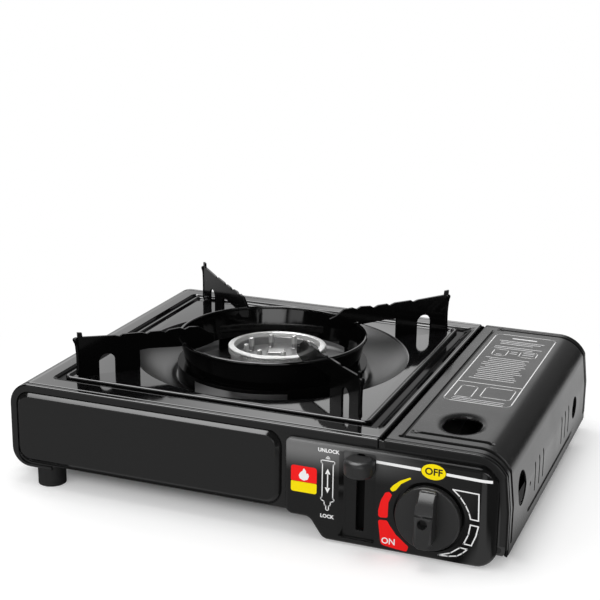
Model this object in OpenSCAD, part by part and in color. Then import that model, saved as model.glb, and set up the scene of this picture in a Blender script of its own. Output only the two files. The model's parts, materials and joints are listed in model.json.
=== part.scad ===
// Portable stove for a butane cartridge.
// Frame: +X to the right, +Y to the back, +Z up, origin under the middle of the whole stove.

/* [Body] */
// Width over the body and the lid
body_w = 340; // [330:1:360]
// Depth of the sheet body, front rim to back rim
body_d = 252; // [250:1:270]
// Height of the flat top above the table
body_h = 71.6; // [71:0.2:76]
// Thickness of the sheet metal
sheet = 1; // [0.8:0.1:1.2]
// Outer radius of the top left edge
top_edge_r = 15; // [10:1:20]
// Outer radius of the bottom left edge
low_edge_r = 17; // [12:1:22]
// Rim turned in around the front and the back
rim = 5; // [4:0.5:6]
// Rim height along the bottom
low_rim = 2.3; // [2:0.1:3]
// Width of the bottom return of the left side
low_return = 30; // [26:1:34]

/* [Lid] */
// Place of the seam, measured from the right side
seam_from_right = 80; // [79:0.5:82]
// Open gap between body and lid
seam_gap = 3; // [2:0.5:4]
// Outer radius of the lid's long edge
lid_edge_r = 22; // [18:1:26]
// Height of the lid's lower edge above the table
lid_low_z = 8.5; // [8:0.5:10]
// Hinge axis, measured from the right side
hinge_in = 5.5; // [5.5:0.1:7]
// Height of the hinge axis
hinge_z = 12.5; // [12:0.5:14]
// Radius of the hinge pins
hinge_pin_r = 1.9; // [1.5:0.1:2.2]
// Finger hole across the lid
finger_w = 24; // [20:1:28]
// Finger hole along the lid
finger_l = 29; // [24:1:34]

/* [Front] */
// How far the control panel stands out of the front
panel_proud = 3.5; // [3:0.5:5]
// Left edge of the control panel, from the right side
panel_from_right = 140.4; // [138:0.2:142]
// Raised field of the front panel, height above the flange
field_proud = 2; // [1:0.5:3]
// Outer radius of the turning knob
knob_r = 20.8; // [18:0.2:22]
// Knob axis, measured from the right side
knob_from_right = 47.6; // [46:0.2:49]
// Height of the knob axis
knob_z = 28; // [27:0.5:30]
// How far the knob stands out of the control panel
knob_out = 15.5; // [14:0.5:18]
// Lever slot, measured from the right side
lever_from_right = 91.3; // [90:0.1:92]
// Height of the lever in its top place
lever_z = 54; // [53:0.5:54.5]
// Travel of the lever
lever_travel = 34; // [30:1:35]

/* [Pan support] */
// Middle of the burner, left of the middle of the stove
burner_left = 33.5; // [32:0.5:35]
// Middle of the burner, behind the middle of the body
burner_back = 3.5; // [2:0.5:5]
// Width of the drip plate
plate_w = 217; // [212:1:220]
// Depth of the drip plate
plate_d = 210; // [208:1:212]
// Middle of the drip plate, behind the middle of the body
plate_back = 2; // [1:0.5:3]
// Radius of the dish's upper edge
dish_r = 97; // [94:1:98]
// Radius of the dish's floor
dish_floor_r = 70; // [68:1:72]
// Depth of the dish
dish_depth = 16; // [14:0.5:17]
// Outer radius of the wind ring
ring_r = 66; // [63:0.5:67]
// Height of the wind ring's top above the table
ring_top_z = 85.4; // [83:0.2:87]
// Reach of the pan arms from the middle
arm_reach = 142; // [140:0.5:143]
// Height of the arm tips above the table
arm_top_z = 102; // [100:0.5:106]
// Thickness of the pan arms
arm_t = 1.6; // [1.2:0.1:2]

/* [Burner] */
// Outer radius of the burner ring
head_r = 34.9; // [33:0.1:36]
// Radius of the opening in the burner ring
head_inner_r = 30.6; // [29:0.1:31]
// Height of the burner ring's top
head_top_z = 74.1; // [72:0.1:76]
// Number of slots in the burner ring
ports = 40; // [24:4:48]
// Number of pins inside the burner
pins = 8; // [6:1:10]
// Outer radius of the mixing tube
tube_r = 9; // [8:0.5:9.5]
// Height of the mixing tube's axis
tube_z = 38; // [36:0.5:40]

/* [Cartridge] */
// Radius of the butane cartridge
can_r = 33; // [33:0.1:33.4]
// Height of the cartridge axis
can_z = 37; // [36.8:0.1:37.2]
// Cartridge axis, measured from the right side
can_from_right = 40; // [39:0.5:41]
// Forward travel of the cartridge carriage
carriage_travel = 5; // [4:0.5:5]
// Radius of the socket for the cartridge's nozzle
socket_r = 5.2; // [5:0.1:6]
// Depth of that socket
socket_l = 8; // [7:0.5:10]

/* [Igniter] */
// Travel of the igniter's plunger
plunger_travel = 4; // [3:0.5:5]
// Smallest radius of the igniter's cam
cam_r = 8; // [7:0.5:9]
// Turn of the knob from off to full on, in degrees
knob_turn = 130; // [110:5:140]

/* [Feet] */
// Radius of the tall feet
foot_r = 9.5; // [9:0.5:12]
// Height of the tall feet
foot_h = 14.5; // [14:0.5:16]
// Radius of the low pads
pad_r = 6.5; // [5:0.5:7]
// Height of the low pads
pad_h = 2.5; // [2.5:0.1:3]

/* [Fits] */
// Running clearance on a radius
run_clear = 0.05; // [0.03:0.01:0.1]
// Gap between faces that slide past each other
slide_clear = 0.3; // [0.25:0.05:0.5]
// Clearance of a screw in its hole
screw_clear = 0.1; // [0.05:0.05:0.2]
// Radius of the screws' shanks
screw_r = 1.5; // [1.2:0.1:1.8]

/* [Hidden] */
$fn = 64;

// Sides and levels of the body
x_left = -body_w / 2;
x_right = body_w / 2;
y_front = -body_d / 2;
y_back = body_d / 2;
panel_y = y_front - panel_proud;
// The front parts stand out, so the body sits this far behind the middle
frame_y = (panel_proud + knob_out) / 2;
top_in_z = body_h - sheet;
left_floor_z = foot_h + sheet;
right_floor_z = pad_h;
right_floor_top = right_floor_z + sheet;
seam_x = x_right - seam_from_right;
body_right = seam_x - seam_gap / 2;
lid_left = seam_x + seam_gap / 2;
partition_x = body_right - sheet;
// Control panel: left edge, lower and upper edge, and the step at its lower left
control_x0 = x_right - panel_from_right;
control_low_z = 0.9;
control_top_z = body_h - 7.1;
control_step_z = foot_h - 0.4;
step_x0 = control_x0 + 17;
step_x1 = step_x0 + 10;
plate_front_y = y_front + sheet;
plate_back_y = y_back - sheet;
inner_front_y = plate_front_y + sheet;
inner_back_y = plate_back_y - sheet;
knob_x = x_right - knob_from_right;
lever_x = x_right - lever_from_right;
can_x = x_right - can_from_right;
hinge_x = x_right - hinge_in;
burner = [-burner_left, burner_back, 0];
return_x = x_left + low_return;
lid_in_r = lid_edge_r - sheet;
pan_wall_x = x_right - 13;
// Lower edge of the flange along the body's right edge
flange_z = top_in_z - 5;
// Outline of the panels beside the lid
panel_right = x_right - sheet - 0.4;
panel_top = top_in_z - 0.4;
ear_r = hinge_pin_r + 2.3;
// Drip plate and its recess
recess_side = 5.5;
recess_z = body_h - 2;
plate_z = recess_z + sheet;
plate_corner_r = 5;
plate_bead_w = 2;
dish_z = plate_z - dish_depth;
// The wind ring narrows downwards to a ledge with a skirt
ring_low_r = ring_r - 4;
ledge_r = ring_r + 1.5;
ledge_z = plate_z - 5.1;
ring_rim_r = 1.4;
burner_hole_r = 43;
// Control parts behind the front
stem_r = 3.95;
stem_hole_r = 6;
knob_recess = 1.5;
strip_half_w = 12;
strip_deep = 0.8;
knob_recess_r = knob_r + 2.4;
knob_back_y = panel_y + 1;
grip_half_h = 4.5;
grip_half_w = 9.1;
grip_front_y = panel_y - 12.5;
grip_back_y = panel_y - 0.5;
block_y0 = y_front + 14;
block_y1 = block_y0 + 36;
block_z0 = 13;
block_z1 = 46;
block_x0 = can_x - 24;
block_x1 = can_x + 20;
socket_y = block_y1 + 10;
cover_x = can_x - 2;
cover_y = block_y0 + 18;
cover_r = 20;
cover_cap_r = 14;
cover_cap_h = 8;
cover_seat_h = 6;
boss_r = 12;
seal_r = 4;
seal_t = 1.5;
seal_y = socket_y - socket_l - 0.2;
fork_from_pin = 55;
fork_top_z = 44;
cam_y = y_front + 7.5;
piezo_half = 4.5;
piezo_x0 = knob_x + cam_r + 6.6;
piezo_x1 = piezo_x0 + 26;
plunger_r = 2.5;
plunger_gap = 0.25;
plunger_bore_end = piezo_x0 + 21;
plunger_back = plunger_bore_end - plunger_travel - 4;
// Lever mechanism
lever_plate_y = inner_front_y + slide_clear;
guide_y = lever_plate_y + sheet * 1.2 + slide_clear;
lever_plate_h = 17;
arm_x = seam_x + 6.2;
cam_plate_x = arm_x - 2.8;
pin_y = y_front + 14;
pin_z = lever_z - 2.5;
pin_r = 1.5;
pin_slot_r = pin_r + 0.1;
thick = 1.2 * sheet;
lever_half_w = 1.9;
slot_half_w = 2.25;
slot_low_z = lever_z - lever_travel - 9.5;
slot_top_z = lever_z + 7.5;
strip_z = right_floor_top + thick + slide_clear;
fork_y = pin_y + fork_from_pin;
// Gas path: the jet points from the regulator to the burner
jet_x = seam_x + 11;
jet_y = y_front + 38;
jet_vec = [-burner_left - jet_x, burner_back - jet_y];
jet_len = norm(jet_vec);
jet_ang = atan2(jet_vec[1], jet_vec[0]);
bowl_r = head_r - 2.9;
bowl_floor_z = tube_z - 12;
electrode = [-47, -33];
foot_x = x_left + 26.5;
foot_y = y_back - 12;
pad_x = x_right - 20;
head_h = 1;

// Igniter lead: from the electrode's foot to the igniter
lead_r = 1.4;
lead_low_z = left_floor_z + 2.9;
lead_x1 = piezo_x1 - 6;
lead_path = [[electrode[0], electrode[1], 36], [electrode[0], electrode[1], 30],
  [electrode[0] + 1, electrode[1] - 2, 24], [electrode[0] + 5, electrode[1] - 7, 20],
  [electrode[0] + 17, electrode[1] - 17, lead_low_z + 0.2],
  [electrode[0] + 37, y_front + 64, lead_low_z], [step_x0 - 27, y_front + 46, lead_low_z],
  [step_x0 - 7, y_front + 34, lead_low_z + 0.2], [step_x0 + 1, y_front + 28, lead_low_z + 0.2],
  [step_x1, y_front + 20, 14], [step_x1 + 9, y_front + 12, 8], [step_x1 + 19, cam_y + 0.9, 6.2],
  [lever_x + 17, cam_y, 6], [knob_x - 2, cam_y, 6], [lead_x1 - 13, cam_y, 6.2],
  [lead_x1 - 5, cam_y, 8.6], [lead_x1 - 1, cam_y, 14], [lead_x1, cam_y, 19],
  [lead_x1, cam_y, knob_z - piezo_half]];

// ---------- helpers ----------
module placed() { translate([0, frame_y, 0]) children(); }

// Plate in XZ with four corner radii: bottom left, bottom right, top right, top left
module plate2d(x0, x1, z0, z1, r) {
  pts = concat(
    r[0] > 0 ? [[x0, z0 + r[0]], [x0 + r[0], z0]] : [[x0, z0]],
    r[1] > 0 ? [[x1 - r[1], z0], [x1, z0 + r[1]]] : [[x1, z0]],
    r[2] > 0 ? [[x1, z1 - r[2]], [x1 - r[2], z1]] : [[x1, z1]],
    r[3] > 0 ? [[x0 + r[3], z1], [x0, z1 - r[3]]] : [[x0, z1]]);
  polygon(pts);
  if (r[0] > 0) translate([x0 + r[0], z0 + r[0]]) circle(r[0]);
  if (r[1] > 0) translate([x1 - r[1], z0 + r[1]]) circle(r[1]);
  if (r[2] > 0) translate([x1 - r[2], z1 - r[2]]) circle(r[2]);
  if (r[3] > 0) translate([x0 + r[3], z1 - r[3]]) circle(r[3]);
}

// Outline in XZ, pulled from y0 to y1
module along_y(y0, y1) {
  translate([0, y1, 0]) rotate([90, 0, 0]) linear_extrude(y1 - y0) children();
}

// Outline in YZ, pulled from x0 to x1
module along_x(x0, x1) {
  translate([x0, 0, 0]) rotate([90, 0, 90]) linear_extrude(x1 - x0) children();
}

module along_z(z0, z1) { translate([0, 0, z0]) linear_extrude(z1 - z0) children(); }

module rod_y(x, z, r, y0, y1) { along_y(y0, y1) translate([x, z]) circle(r); }

module box(x0, x1, y0, y1, z0, z1) { translate([x0, y0, z0]) cube([x1 - x0, y1 - y0, z1 - z0]); }

// Tube swept along a list of points
function unit(v) = v / norm(v);
function path_dir(p, i) = unit(p[min(i + 1, len(p) - 1)] - p[max(i - 1, 0)]);
function side_of(d) = abs(d[2]) > 0.9 ? unit(cross(d, [0, 1, 0])) : unit(cross(d, [0, 0, 1]));
module tube_along(p, r, sides = 8) {
  n = len(p);
  pts = [for (i = [0:n - 1]) let (d = path_dir(p, i), u = side_of(d), v = cross(u, d))
    for (k = [0:sides - 1]) p[i] + r * (u * cos(360 * k / sides) + v * sin(360 * k / sides))];
  skin = [for (i = [0:n - 2]) for (k = [0:sides - 1]) let (a = i * sides, m = (k + 1) % sides)
    [a + k, a + sides + k, a + sides + m, a + m]];
  polyhedron(pts, concat([[for (k = [0:sides - 1]) k]], skin,
    [[for (k = [sides - 1:-1:0]) (n - 1) * sides + k]]), convexity = 6);
}

// ---------- sheet body ----------
module shell_outline(inset) {
  plate2d(x_left + inset, body_right - (inset > 0 ? inset : 0), foot_h + inset, body_h - inset,
    [low_edge_r - inset, 0, 0, top_edge_r - inset]);
}

// What the open right underside leaves out of the wrap
module shell_open2d() { plate2d(return_x, x_right, 0, flange_z, [0, 0, 0, 0]); }

module recess2d(grow) {
  plate2d(burner[0] - plate_w / 2 - grow, burner[0] + plate_w / 2 + grow,
    plate_back - plate_d / 2 - grow, plate_back + plate_d / 2 + grow,
    [for (k = [0:3]) plate_corner_r + grow]);
}

module foot_holes() {
  for (y = [-foot_y, foot_y]) translate([foot_x, y, 0])
    cylinder(h = foot_h + 4, r = screw_r + screw_clear);
}

module body_shell() color([0.03, 0.03, 0.03]) placed() {
  difference() {
    along_y(y_front, y_back) difference() {
      shell_outline(0);
      shell_outline(sheet);
      shell_open2d();
    }
    along_z(recess_z, body_h + 1) recess2d(recess_side - 1);
    foot_holes();
  }
  for (y = [y_front, plate_back_y]) along_y(y, y + sheet) difference() {
    shell_outline(sheet / 2);
    plate2d(x_left + rim, x_right, foot_h + low_rim, body_h - rim,
      [low_edge_r - rim, 0, 0, top_edge_r - rim]);
    shell_open2d();
  }
  difference() {
    along_z(recess_z - sheet, top_in_z) recess2d(recess_side);
    along_z(recess_z, body_h) recess2d(recess_side - 1);
    along_z(recess_z - 2 * sheet, body_h) translate([burner[0], burner[1]]) circle(dish_r + 3);
  }
}

// Full outline of the front and back walls, with the ear that carries the lid's hinge
module wall2d() {
  difference() {
    union() {
      plate2d(x_left + sheet + 0.1, seam_x, left_floor_z, top_in_z,
        [low_edge_r - sheet - 0.1, 0, 0, top_edge_r - sheet]);
      plate2d(step_x1, panel_right, right_floor_z, panel_top, [0, 0, lid_in_r - 0.4, 0]);
      polygon([[step_x0, left_floor_z], [step_x1, right_floor_z],
        [step_x1, left_floor_z + 1], [step_x0, left_floor_z + 1]]);
    }
    translate([hinge_x, 0]) square([hinge_in + 1, hinge_z]);
    translate([body_right - sheet, flange_z]) square([sheet, 10]);
    translate([hinge_x, hinge_z]) circle(hinge_pin_r + run_clear);
  }
  difference() {
    translate([hinge_x, hinge_z]) circle(ear_r);
    translate([hinge_x, hinge_z]) circle(hinge_pin_r + run_clear);
  }
}

// Raised field on the left of the front panel
module field2d(inset) {
  plate2d(x_left + rim + 0.5 + inset, control_x0 - 4.6 - inset,
    foot_h + low_rim + 0.5 + inset, body_h - rim - 1.1 - inset,
    [11, 11, 11, 11]);
}

screw_from_edge = 8.4;
panel_screw_at = [[control_x0 + screw_from_edge, left_floor_z + 17.5],
  [control_x0 + screw_from_edge, control_top_z - screw_from_edge], [x_right - 14, control_top_z - 18.5]];
body_screw_at = [for (x = [x_left + 50, burner[0] - 6.5, control_x0 + 6.4]) [x, left_floor_z + 5.5]];

module front_panel() color([0.1, 0.1, 0.1]) placed() difference() {
  union() {
    along_y(plate_front_y, inner_front_y) wall2d();
    along_y(plate_front_y - field_proud, plate_front_y) field2d(0);
  }
  along_y(plate_front_y - field_proud + sheet, inner_front_y + 1) field2d(sheet);
  rod_y(knob_x, knob_z, stem_hole_r, plate_front_y - 1, inner_front_y + 1);
  along_y(plate_front_y - 1, inner_front_y + 1)
    plate2d(lever_x - 3, lever_x + 3, slot_low_z - 1, slot_top_z + 1, [2, 2, 2, 2]);
  for (p = panel_screw_at) rod_y(p[0], p[1], screw_r + screw_clear, plate_front_y - 1, inner_front_y + 1);
}

module vent_row(x0, n, pitch, z0, z1, y0, y1) {
  for (i = [0:n - 1]) along_y(y0, y1)
    plate2d(x0 + i * pitch, x0 + i * pitch + 4, z0, z1, [1.9, 1.9, 1.9, 1.9]);
}

module back_panel() color([0.04, 0.04, 0.04]) placed() difference() {
  along_y(inner_back_y, plate_back_y) wall2d();
  vent_row(-100, 12, 12, 34, 56, inner_back_y - 1, plate_back_y + 1);
  vent_row(104, 4, 12, 22, 34, inner_back_y - 1, plate_back_y + 1);
  for (p = body_screw_at) rod_y(p[0], p[1], screw_r + screw_clear, inner_back_y - 1, plate_back_y + 1);
}

// Floor profile: high under the burner, low under the cartridge
module floor2d() {
  z = left_floor_z;
  polygon([[x_left + low_edge_r + 0.2, z], [step_x0, z], [step_x1, right_floor_z], [pan_wall_x, right_floor_z],
    [pan_wall_x, right_floor_z + 10], [pan_wall_x - sheet, right_floor_z + 10],
    [pan_wall_x - sheet, right_floor_top], [step_x1 + 0.6, right_floor_top],
    [step_x0 + 0.6, z + sheet], [x_left + low_edge_r + 0.2, z + sheet]]);
}

module base_pan() color([0.05, 0.05, 0.05]) placed() difference() {
  union() {
    along_y(inner_front_y, inner_back_y) floor2d();
    for (y = [inner_front_y, inner_back_y - sheet])
      box(x_left + 18, step_x0 - 8, y, y + sheet, left_floor_z, left_floor_z + 12);
  }
  for (i = [0:5]) along_z(left_floor_z - 1, left_floor_z + 2) translate([-100 + 16 * i, 60])
    plate2d(0, 5, 0, 36, [2.4, 2.4, 2.4, 2.4]);
  for (p = body_screw_at) rod_y(p[0], p[1], screw_r + screw_clear, inner_back_y - 2, inner_back_y + 1);
  foot_holes();
}

module partition_wall() color([0.6, 0.6, 0.6]) placed() difference() {
  box(partition_x - sheet, partition_x, y_front + 12, inner_back_y, right_floor_top, recess_z - sheet);
  along_x(partition_x - 2 * sheet, partition_x + 1)
    plate2d(jet_y + 16 - tube_r - 12, jet_y + 16 + tube_r + 2, tube_z - 13, tube_z + 13, [3, 3, 3, 3]);
  for (i = [0:5]) along_x(partition_x - 2 * sheet, partition_x + 1)
    translate([-30 + i * 22, 40]) circle(4);
}

// Outline of the control panel, with the cut-out at its lower left
module control2d(inset) {
  x0 = control_x0 + inset;
  z_step = control_step_z + inset;
  difference() {
    plate2d(x0, x_right - 6 - inset, control_low_z + inset, control_top_z - inset,
      [3, 12 - inset, 13 - inset, 3]);
    polygon([[x0 - 5, -5], [step_x1 + 1 + inset, -5], [step_x1 + inset, 3], [step_x0 + 1 + inset, z_step],
      [x0 - 5, z_step]]);
  }
}

module control_panel() color([0.06, 0.06, 0.06]) placed() difference() {
  union() {
    difference() {
      along_y(panel_y, plate_front_y) control2d(0);
      along_y(panel_y + 1.5, plate_front_y + 1) control2d(1.5);
    }
    along_y(panel_y, panel_y + 3) intersection() {
      control2d(0.5);
      union() {
        translate([knob_x, knob_z]) circle(knob_recess_r + 1.2);
        translate([lever_x - strip_half_w - 1.5, 0]) square([2 * strip_half_w + 3, body_h]);
      }
    }
    for (p = panel_screw_at) rod_y(p[0], p[1], 3.4, panel_y + 1, plate_front_y);
  }
  rod_y(knob_x, knob_z, knob_recess_r, panel_y - 1, panel_y + knob_recess);
  rod_y(knob_x, knob_z, stem_hole_r, panel_y - 1, plate_front_y);
  box(lever_x - strip_half_w, lever_x + strip_half_w, panel_y - 1, panel_y + strip_deep, -1, body_h);
  along_y(panel_y - 1, plate_front_y)
    plate2d(lever_x - slot_half_w, lever_x + slot_half_w, slot_low_z, slot_top_z, [2, 2, 2, 2]);
  for (p = panel_screw_at) rod_y(p[0], p[1], screw_r + screw_clear, panel_y + 1.5, plate_front_y + 1);
}

// Screw along Y: head from y to y + s * head_h, shank the other way
module screw_y(x, z, y, s, l) {
  rod_y(x, z, screw_r * 2, min(y, y + s * head_h), max(y, y + s * head_h));
  rod_y(x, z, screw_r, min(y, y - s * l), max(y, y - s * l));
}

module panel_screws() color("silver") placed()
  for (p = panel_screw_at) screw_y(p[0], p[1], inner_front_y, 1, 4);

module body_screws() color("silver") placed()
  for (p = body_screw_at) screw_y(p[0], p[1], plate_back_y, 1, 4);

// ---------- feet ----------
module rubber_feet() color([0.08, 0.08, 0.08]) placed()
  for (y = [-foot_y, foot_y]) difference() {
    translate([foot_x, y, 0]) cylinder(h = left_floor_z, r = foot_r);
    box(x_left, return_x + 0.2, y - 20, y + 20, foot_h, foot_h + 4);
    translate([foot_x, y, -1]) cylinder(h = 7, r = screw_r * 2 + 1);
    translate([foot_x, y, 0]) cylinder(h = foot_h + 4, r = screw_r + screw_clear);
  }

module foot_screws() color("silver") placed()
  for (y = [-foot_y, foot_y]) translate([foot_x, y, 0]) {
    translate([0, 0, 6 - head_h * 1.5]) cylinder(h = head_h * 1.5, r = screw_r * 2);
    translate([0, 0, 5]) cylinder(h = left_floor_z - 2, r = screw_r);
  }

module low_pads() color([0.08, 0.08, 0.08]) placed()
  for (y = [-foot_y, foot_y]) translate([pad_x, y, 0]) cylinder(h = pad_h, r = pad_r);

// ---------- burner ----------
module at_burner() { placed() translate(burner) children(); }

module tube_axis() { placed() translate([jet_x, jet_y, tube_z]) rotate([0, 0, jet_ang]) rotate([0, 90, 0]) children(); }

module burner_bowl() color([0.7, 0.7, 0.7]) difference() {
  at_burner() rotate_extrude() polygon([[0, bowl_floor_z], [20, bowl_floor_z], [bowl_r, tube_z + 14],
    [bowl_r, head_top_z - 14], [bowl_r - 2, head_top_z - 14], [bowl_r - 2, tube_z + 14.6],
    [19, bowl_floor_z + 2], [0, bowl_floor_z + 2]]);
  tube_axis() cylinder(h = jet_len - 10, r = tube_r);
}

insert_z = head_top_z - 14;
module burner_insert() color([0.75, 0.75, 0.75]) at_burner() {
  difference() {
    translate([0, 0, insert_z - 2]) cylinder(h = 3, r = bowl_r - 2 - run_clear);
    for (k = [0:5]) rotate(60 * k) translate([10, 0, insert_z - 3]) cylinder(h = 5, r = 2.2);
  }
  for (k = [0:pins - 1]) rotate(360 * (k + 0.5) / pins) translate([23, 0, insert_z])
    cylinder(h = 11.5, r = 1.9);
  rotate(20) translate([-7, -7, insert_z]) cube([14, 14, 4.5]);
}

module burner_ring() color([0.8, 0.8, 0.8]) at_burner() difference() {
  rotate_extrude() polygon([[head_inner_r, insert_z], [bowl_r, insert_z],
    [head_r - 1.6, insert_z + 3], [head_r - 1.6, head_top_z - 2.4], [head_r, head_top_z - 1.8],
    [head_r, head_top_z - 0.6], [head_r - 0.8, head_top_z], [head_inner_r + 0.6, head_top_z],
    [head_inner_r, head_top_z - 0.6]]);
  for (k = [0:ports - 1]) rotate(360 * k / ports) translate([head_inner_r + 1, -0.6, insert_z + 5])
    cube([6, 1.2, 4.6]);
}

module burner_bracket() color([0.5, 0.5, 0.5]) placed() difference() {
  union() {
    box(burner[0] - 26, burner[0] + 26, burner[1] - 9, burner[1] + 9, bowl_floor_z - 1.2, bowl_floor_z);
    for (s = [-1, 1]) {
      box(min(burner[0] + s * 26, burner[0] + s * 24.8), max(burner[0] + s * 26, burner[0] + s * 24.8),
        burner[1] - 9, burner[1] + 9, left_floor_z + sheet, bowl_floor_z);
      box(min(burner[0] + s * 26, burner[0] + s * 38), max(burner[0] + s * 26, burner[0] + s * 38),
        burner[1] - 9, burner[1] + 9, left_floor_z + sheet, left_floor_z + sheet + 1.2);
    }
  }
  for (s = [-1, 1]) translate([burner[0] + s * 32, burner[1], left_floor_z]) cylinder(h = 5, r = screw_r + screw_clear);
}

module bracket_screws() color("silver") placed()
  for (s = [-1, 1]) translate([burner[0] + s * 32, burner[1], left_floor_z + sheet]) {
    translate([0, 0, 1.2]) cylinder(h = head_h * 1.5, r = screw_r * 2);
    cylinder(h = 1.2, r = screw_r);
  }

module mixing_tube() color([0.75, 0.75, 0.75]) difference() {
  tube_axis() rotate_extrude() polygon([[8.6, 8], [tube_r + 2, 8], [tube_r + 2, 12], [tube_r, 18],
    [tube_r, jet_len - 22], [tube_r - 1.4, jet_len - 22], [tube_r - 1.4, 18], [8.6, 12]]);
}

module electrode_clip() color([0.7, 0.7, 0.7]) placed() difference() {
  z = head_top_z - 24;
  hull() {
    translate([electrode[0], electrode[1], z]) cylinder(h = 1.2, r = 5);
    translate([-43.5, -22, z]) cylinder(h = 1.2, r = 5);
  }
  translate([electrode[0], electrode[1], z - 1]) cylinder(h = 4, r = 3);
  translate([burner[0], burner[1], z - 1]) cylinder(h = 4, r = bowl_r);
}

module electrode_insulator() color("white") placed() translate([electrode[0], electrode[1], 0]) difference() {
  union() {
    translate([0, 0, 36]) cylinder(h = head_top_z - 47, r = 3);
    translate([0, 0, head_top_z - 22.8]) cylinder(h = 2, r = 4);
  }
  translate([0, 0, head_top_z - 16]) cylinder(h = 20, r = 0.9);
}

module electrode_pin() color("silver") placed() translate([electrode[0], electrode[1], 0]) {
  translate([0, 0, head_top_z - 16]) cylinder(h = 11, r = 0.9);
  translate([0, 0, head_top_z - 5.4]) rotate([0, 0, atan2(burner_back + 33, -burner_left + 47)])
    rotate([0, 90, 0]) cylinder(h = 2.6, r = 0.8);
}

module igniter_lead() color([0.5, 0.08, 0.06]) placed() tube_along(lead_path, lead_r);

// ---------- igniter ----------
module piezo_igniter() color([0.15, 0.15, 0.15]) placed() difference() {
  box(piezo_x0, piezo_x1, cam_y - piezo_half, cam_y + piezo_half, knob_z - piezo_half, knob_z + piezo_half);
  translate([piezo_x0 - 1, cam_y, knob_z]) rotate([0, 90, 0])
    cylinder(h = plunger_bore_end - piezo_x0 + 1, r = plunger_r + run_clear);
}

module igniter_bracket() color([0.5, 0.5, 0.5]) placed() {
  x0 = piezo_x0 + 3;
  x1 = piezo_x1 - 9;
  zl = knob_z - piezo_half;
  zh = knob_z + piezo_half;
  difference() {
    box(x0, x1, inner_front_y, cam_y + piezo_half, zl - 1, zh + 1);
    box(x0 - 1, x1 + 1, cam_y - piezo_half, cam_y + piezo_half + 1, zl, zh);
  }
}

module igniter_plunger() color([0.8, 0.8, 0.75]) placed() {
  tip = knob_x + cam_r + plunger_gap;
  translate([tip + plunger_r, cam_y, knob_z]) {
    sphere(plunger_r);
    rotate([0, 90, 0]) cylinder(h = plunger_back - tip - plunger_r, r = plunger_r);
  }
}

module igniter_spring() color("silver") placed() translate([plunger_back + 0.1, cam_y, knob_z])
  rotate([0, 90, 0]) difference() {
    cylinder(h = plunger_bore_end - plunger_back - 0.2, r = 2.2);
    translate([0, 0, -1]) cylinder(h = 30, r = 1.5);
  }

// Cam whose radius grows evenly with the knob's turn
module igniter_cam() color([0.85, 0.85, 0.8]) placed() difference() {
  hold = 12;
  along_y(cam_y - 2, cam_y + 2) translate([knob_x, knob_z]) polygon(concat(
    [for (a = [0:2:knob_turn + hold]) (cam_r + plunger_travel * a / knob_turn) * [cos(a), -sin(a)]],
    [for (a = [knob_turn + hold + 8:10:350]) cam_r * [cos(a), -sin(a)]]));
  rod_y(knob_x, knob_z, stem_r, cam_y - 3, cam_y + 3);
}

// ---------- regulator ----------
module regulator_body() color([0.72, 0.72, 0.7]) difference() {
  union() {
    placed() {
      box(block_x0, block_x1, block_y0, block_y1, block_z0, block_z1);
      translate([cover_x, cover_y, block_z1]) cylinder(h = cover_seat_h, r = cover_r);
      rod_y(can_x, can_z, boss_r, block_y1 - 4, socket_y);
    }
    tube_axis() translate([0, 0, -12]) cylinder(h = 12, r = 6);
  }
  placed() {
    rod_y(knob_x, knob_z, stem_r + run_clear, block_y0 - 1, block_y0 + 8);
    rod_y(can_x, can_z, socket_r, socket_y - socket_l, socket_y + 1);
    rod_y(can_x, can_z, seal_r + run_clear, seal_y - seal_t, socket_y);
    translate([cover_x, cover_y, block_z1 + 3]) cylinder(h = 4, r = cover_r - 4);
  }
  tube_axis() translate([0, 0, -3]) cylinder(h = 4, r = 3);
}

module regulator_diaphragm() color([0.3, 0.3, 0.3]) placed()
  translate([cover_x, cover_y, block_z1 + cover_seat_h]) cylinder(h = 0.8, r = cover_r);

cover_z = block_z1 + cover_seat_h + 0.8;
cover_screw_at = cover_r - 3.2;
module regulator_cover() color([0.75, 0.75, 0.72]) placed() translate([cover_x, cover_y, cover_z]) difference() {
  union() {
    cylinder(h = 2, r = cover_r);
    cylinder(h = cover_cap_h, r = cover_cap_r);
  }
  translate([0, 0, -1]) cylinder(h = cover_cap_h - 0.5, r = cover_cap_r - 1.5);
  for (k = [0:3]) rotate(45 + 90 * k) translate([cover_screw_at, 0, -1]) cylinder(h = 5, r = screw_r + screw_clear);
}

module regulator_spring() color("silver") placed() translate([cover_x, cover_y, cover_z]) difference() {
  cylinder(h = cover_cap_h - 1.6, r = 6);
  translate([0, 0, -1]) cylinder(h = 9, r = 4.8);
}

module regulator_screws() color("silver") placed() translate([cover_x, cover_y, cover_z])
  for (k = [0:3]) rotate(45 + 90 * k) translate([cover_screw_at, 0, 0]) {
    cylinder(h = 2, r = screw_r);
    translate([0, 0, 2]) cylinder(h = 1.2, r = screw_r * 1.8);
  }

module regulator_bracket() color([0.5, 0.5, 0.5]) placed() {
  box(block_x0, block_x1, block_y0 + 1, block_y1 - 1, block_z0 - 1.2, block_z0);
  for (y = [block_y0 + 1, block_y1 - 2.2])
    box(block_x0 + 4, block_x1 - 4, y, y + 1.2, right_floor_top, block_z0);
}

module gas_jet() color([0.8, 0.6, 0.25]) difference() {
  tube_axis() {
    translate([0, 0, -3]) cylinder(h = 3, r = 3);
    cylinder(h = 3, r = 4.2, $fn = 6);
    cylinder(h = 5.5, r = 2.4);
  }
  tube_axis() translate([0, 0, -4]) cylinder(h = 12, r = 0.5);
}

module socket_seal() color([0.1, 0.1, 0.1]) placed() difference() {
  rod_y(can_x, can_z, seal_r, seal_y - seal_t, seal_y);
  rod_y(can_x, can_z, 2.4, seal_y - seal_t - 1, seal_y + 1);
}

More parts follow.
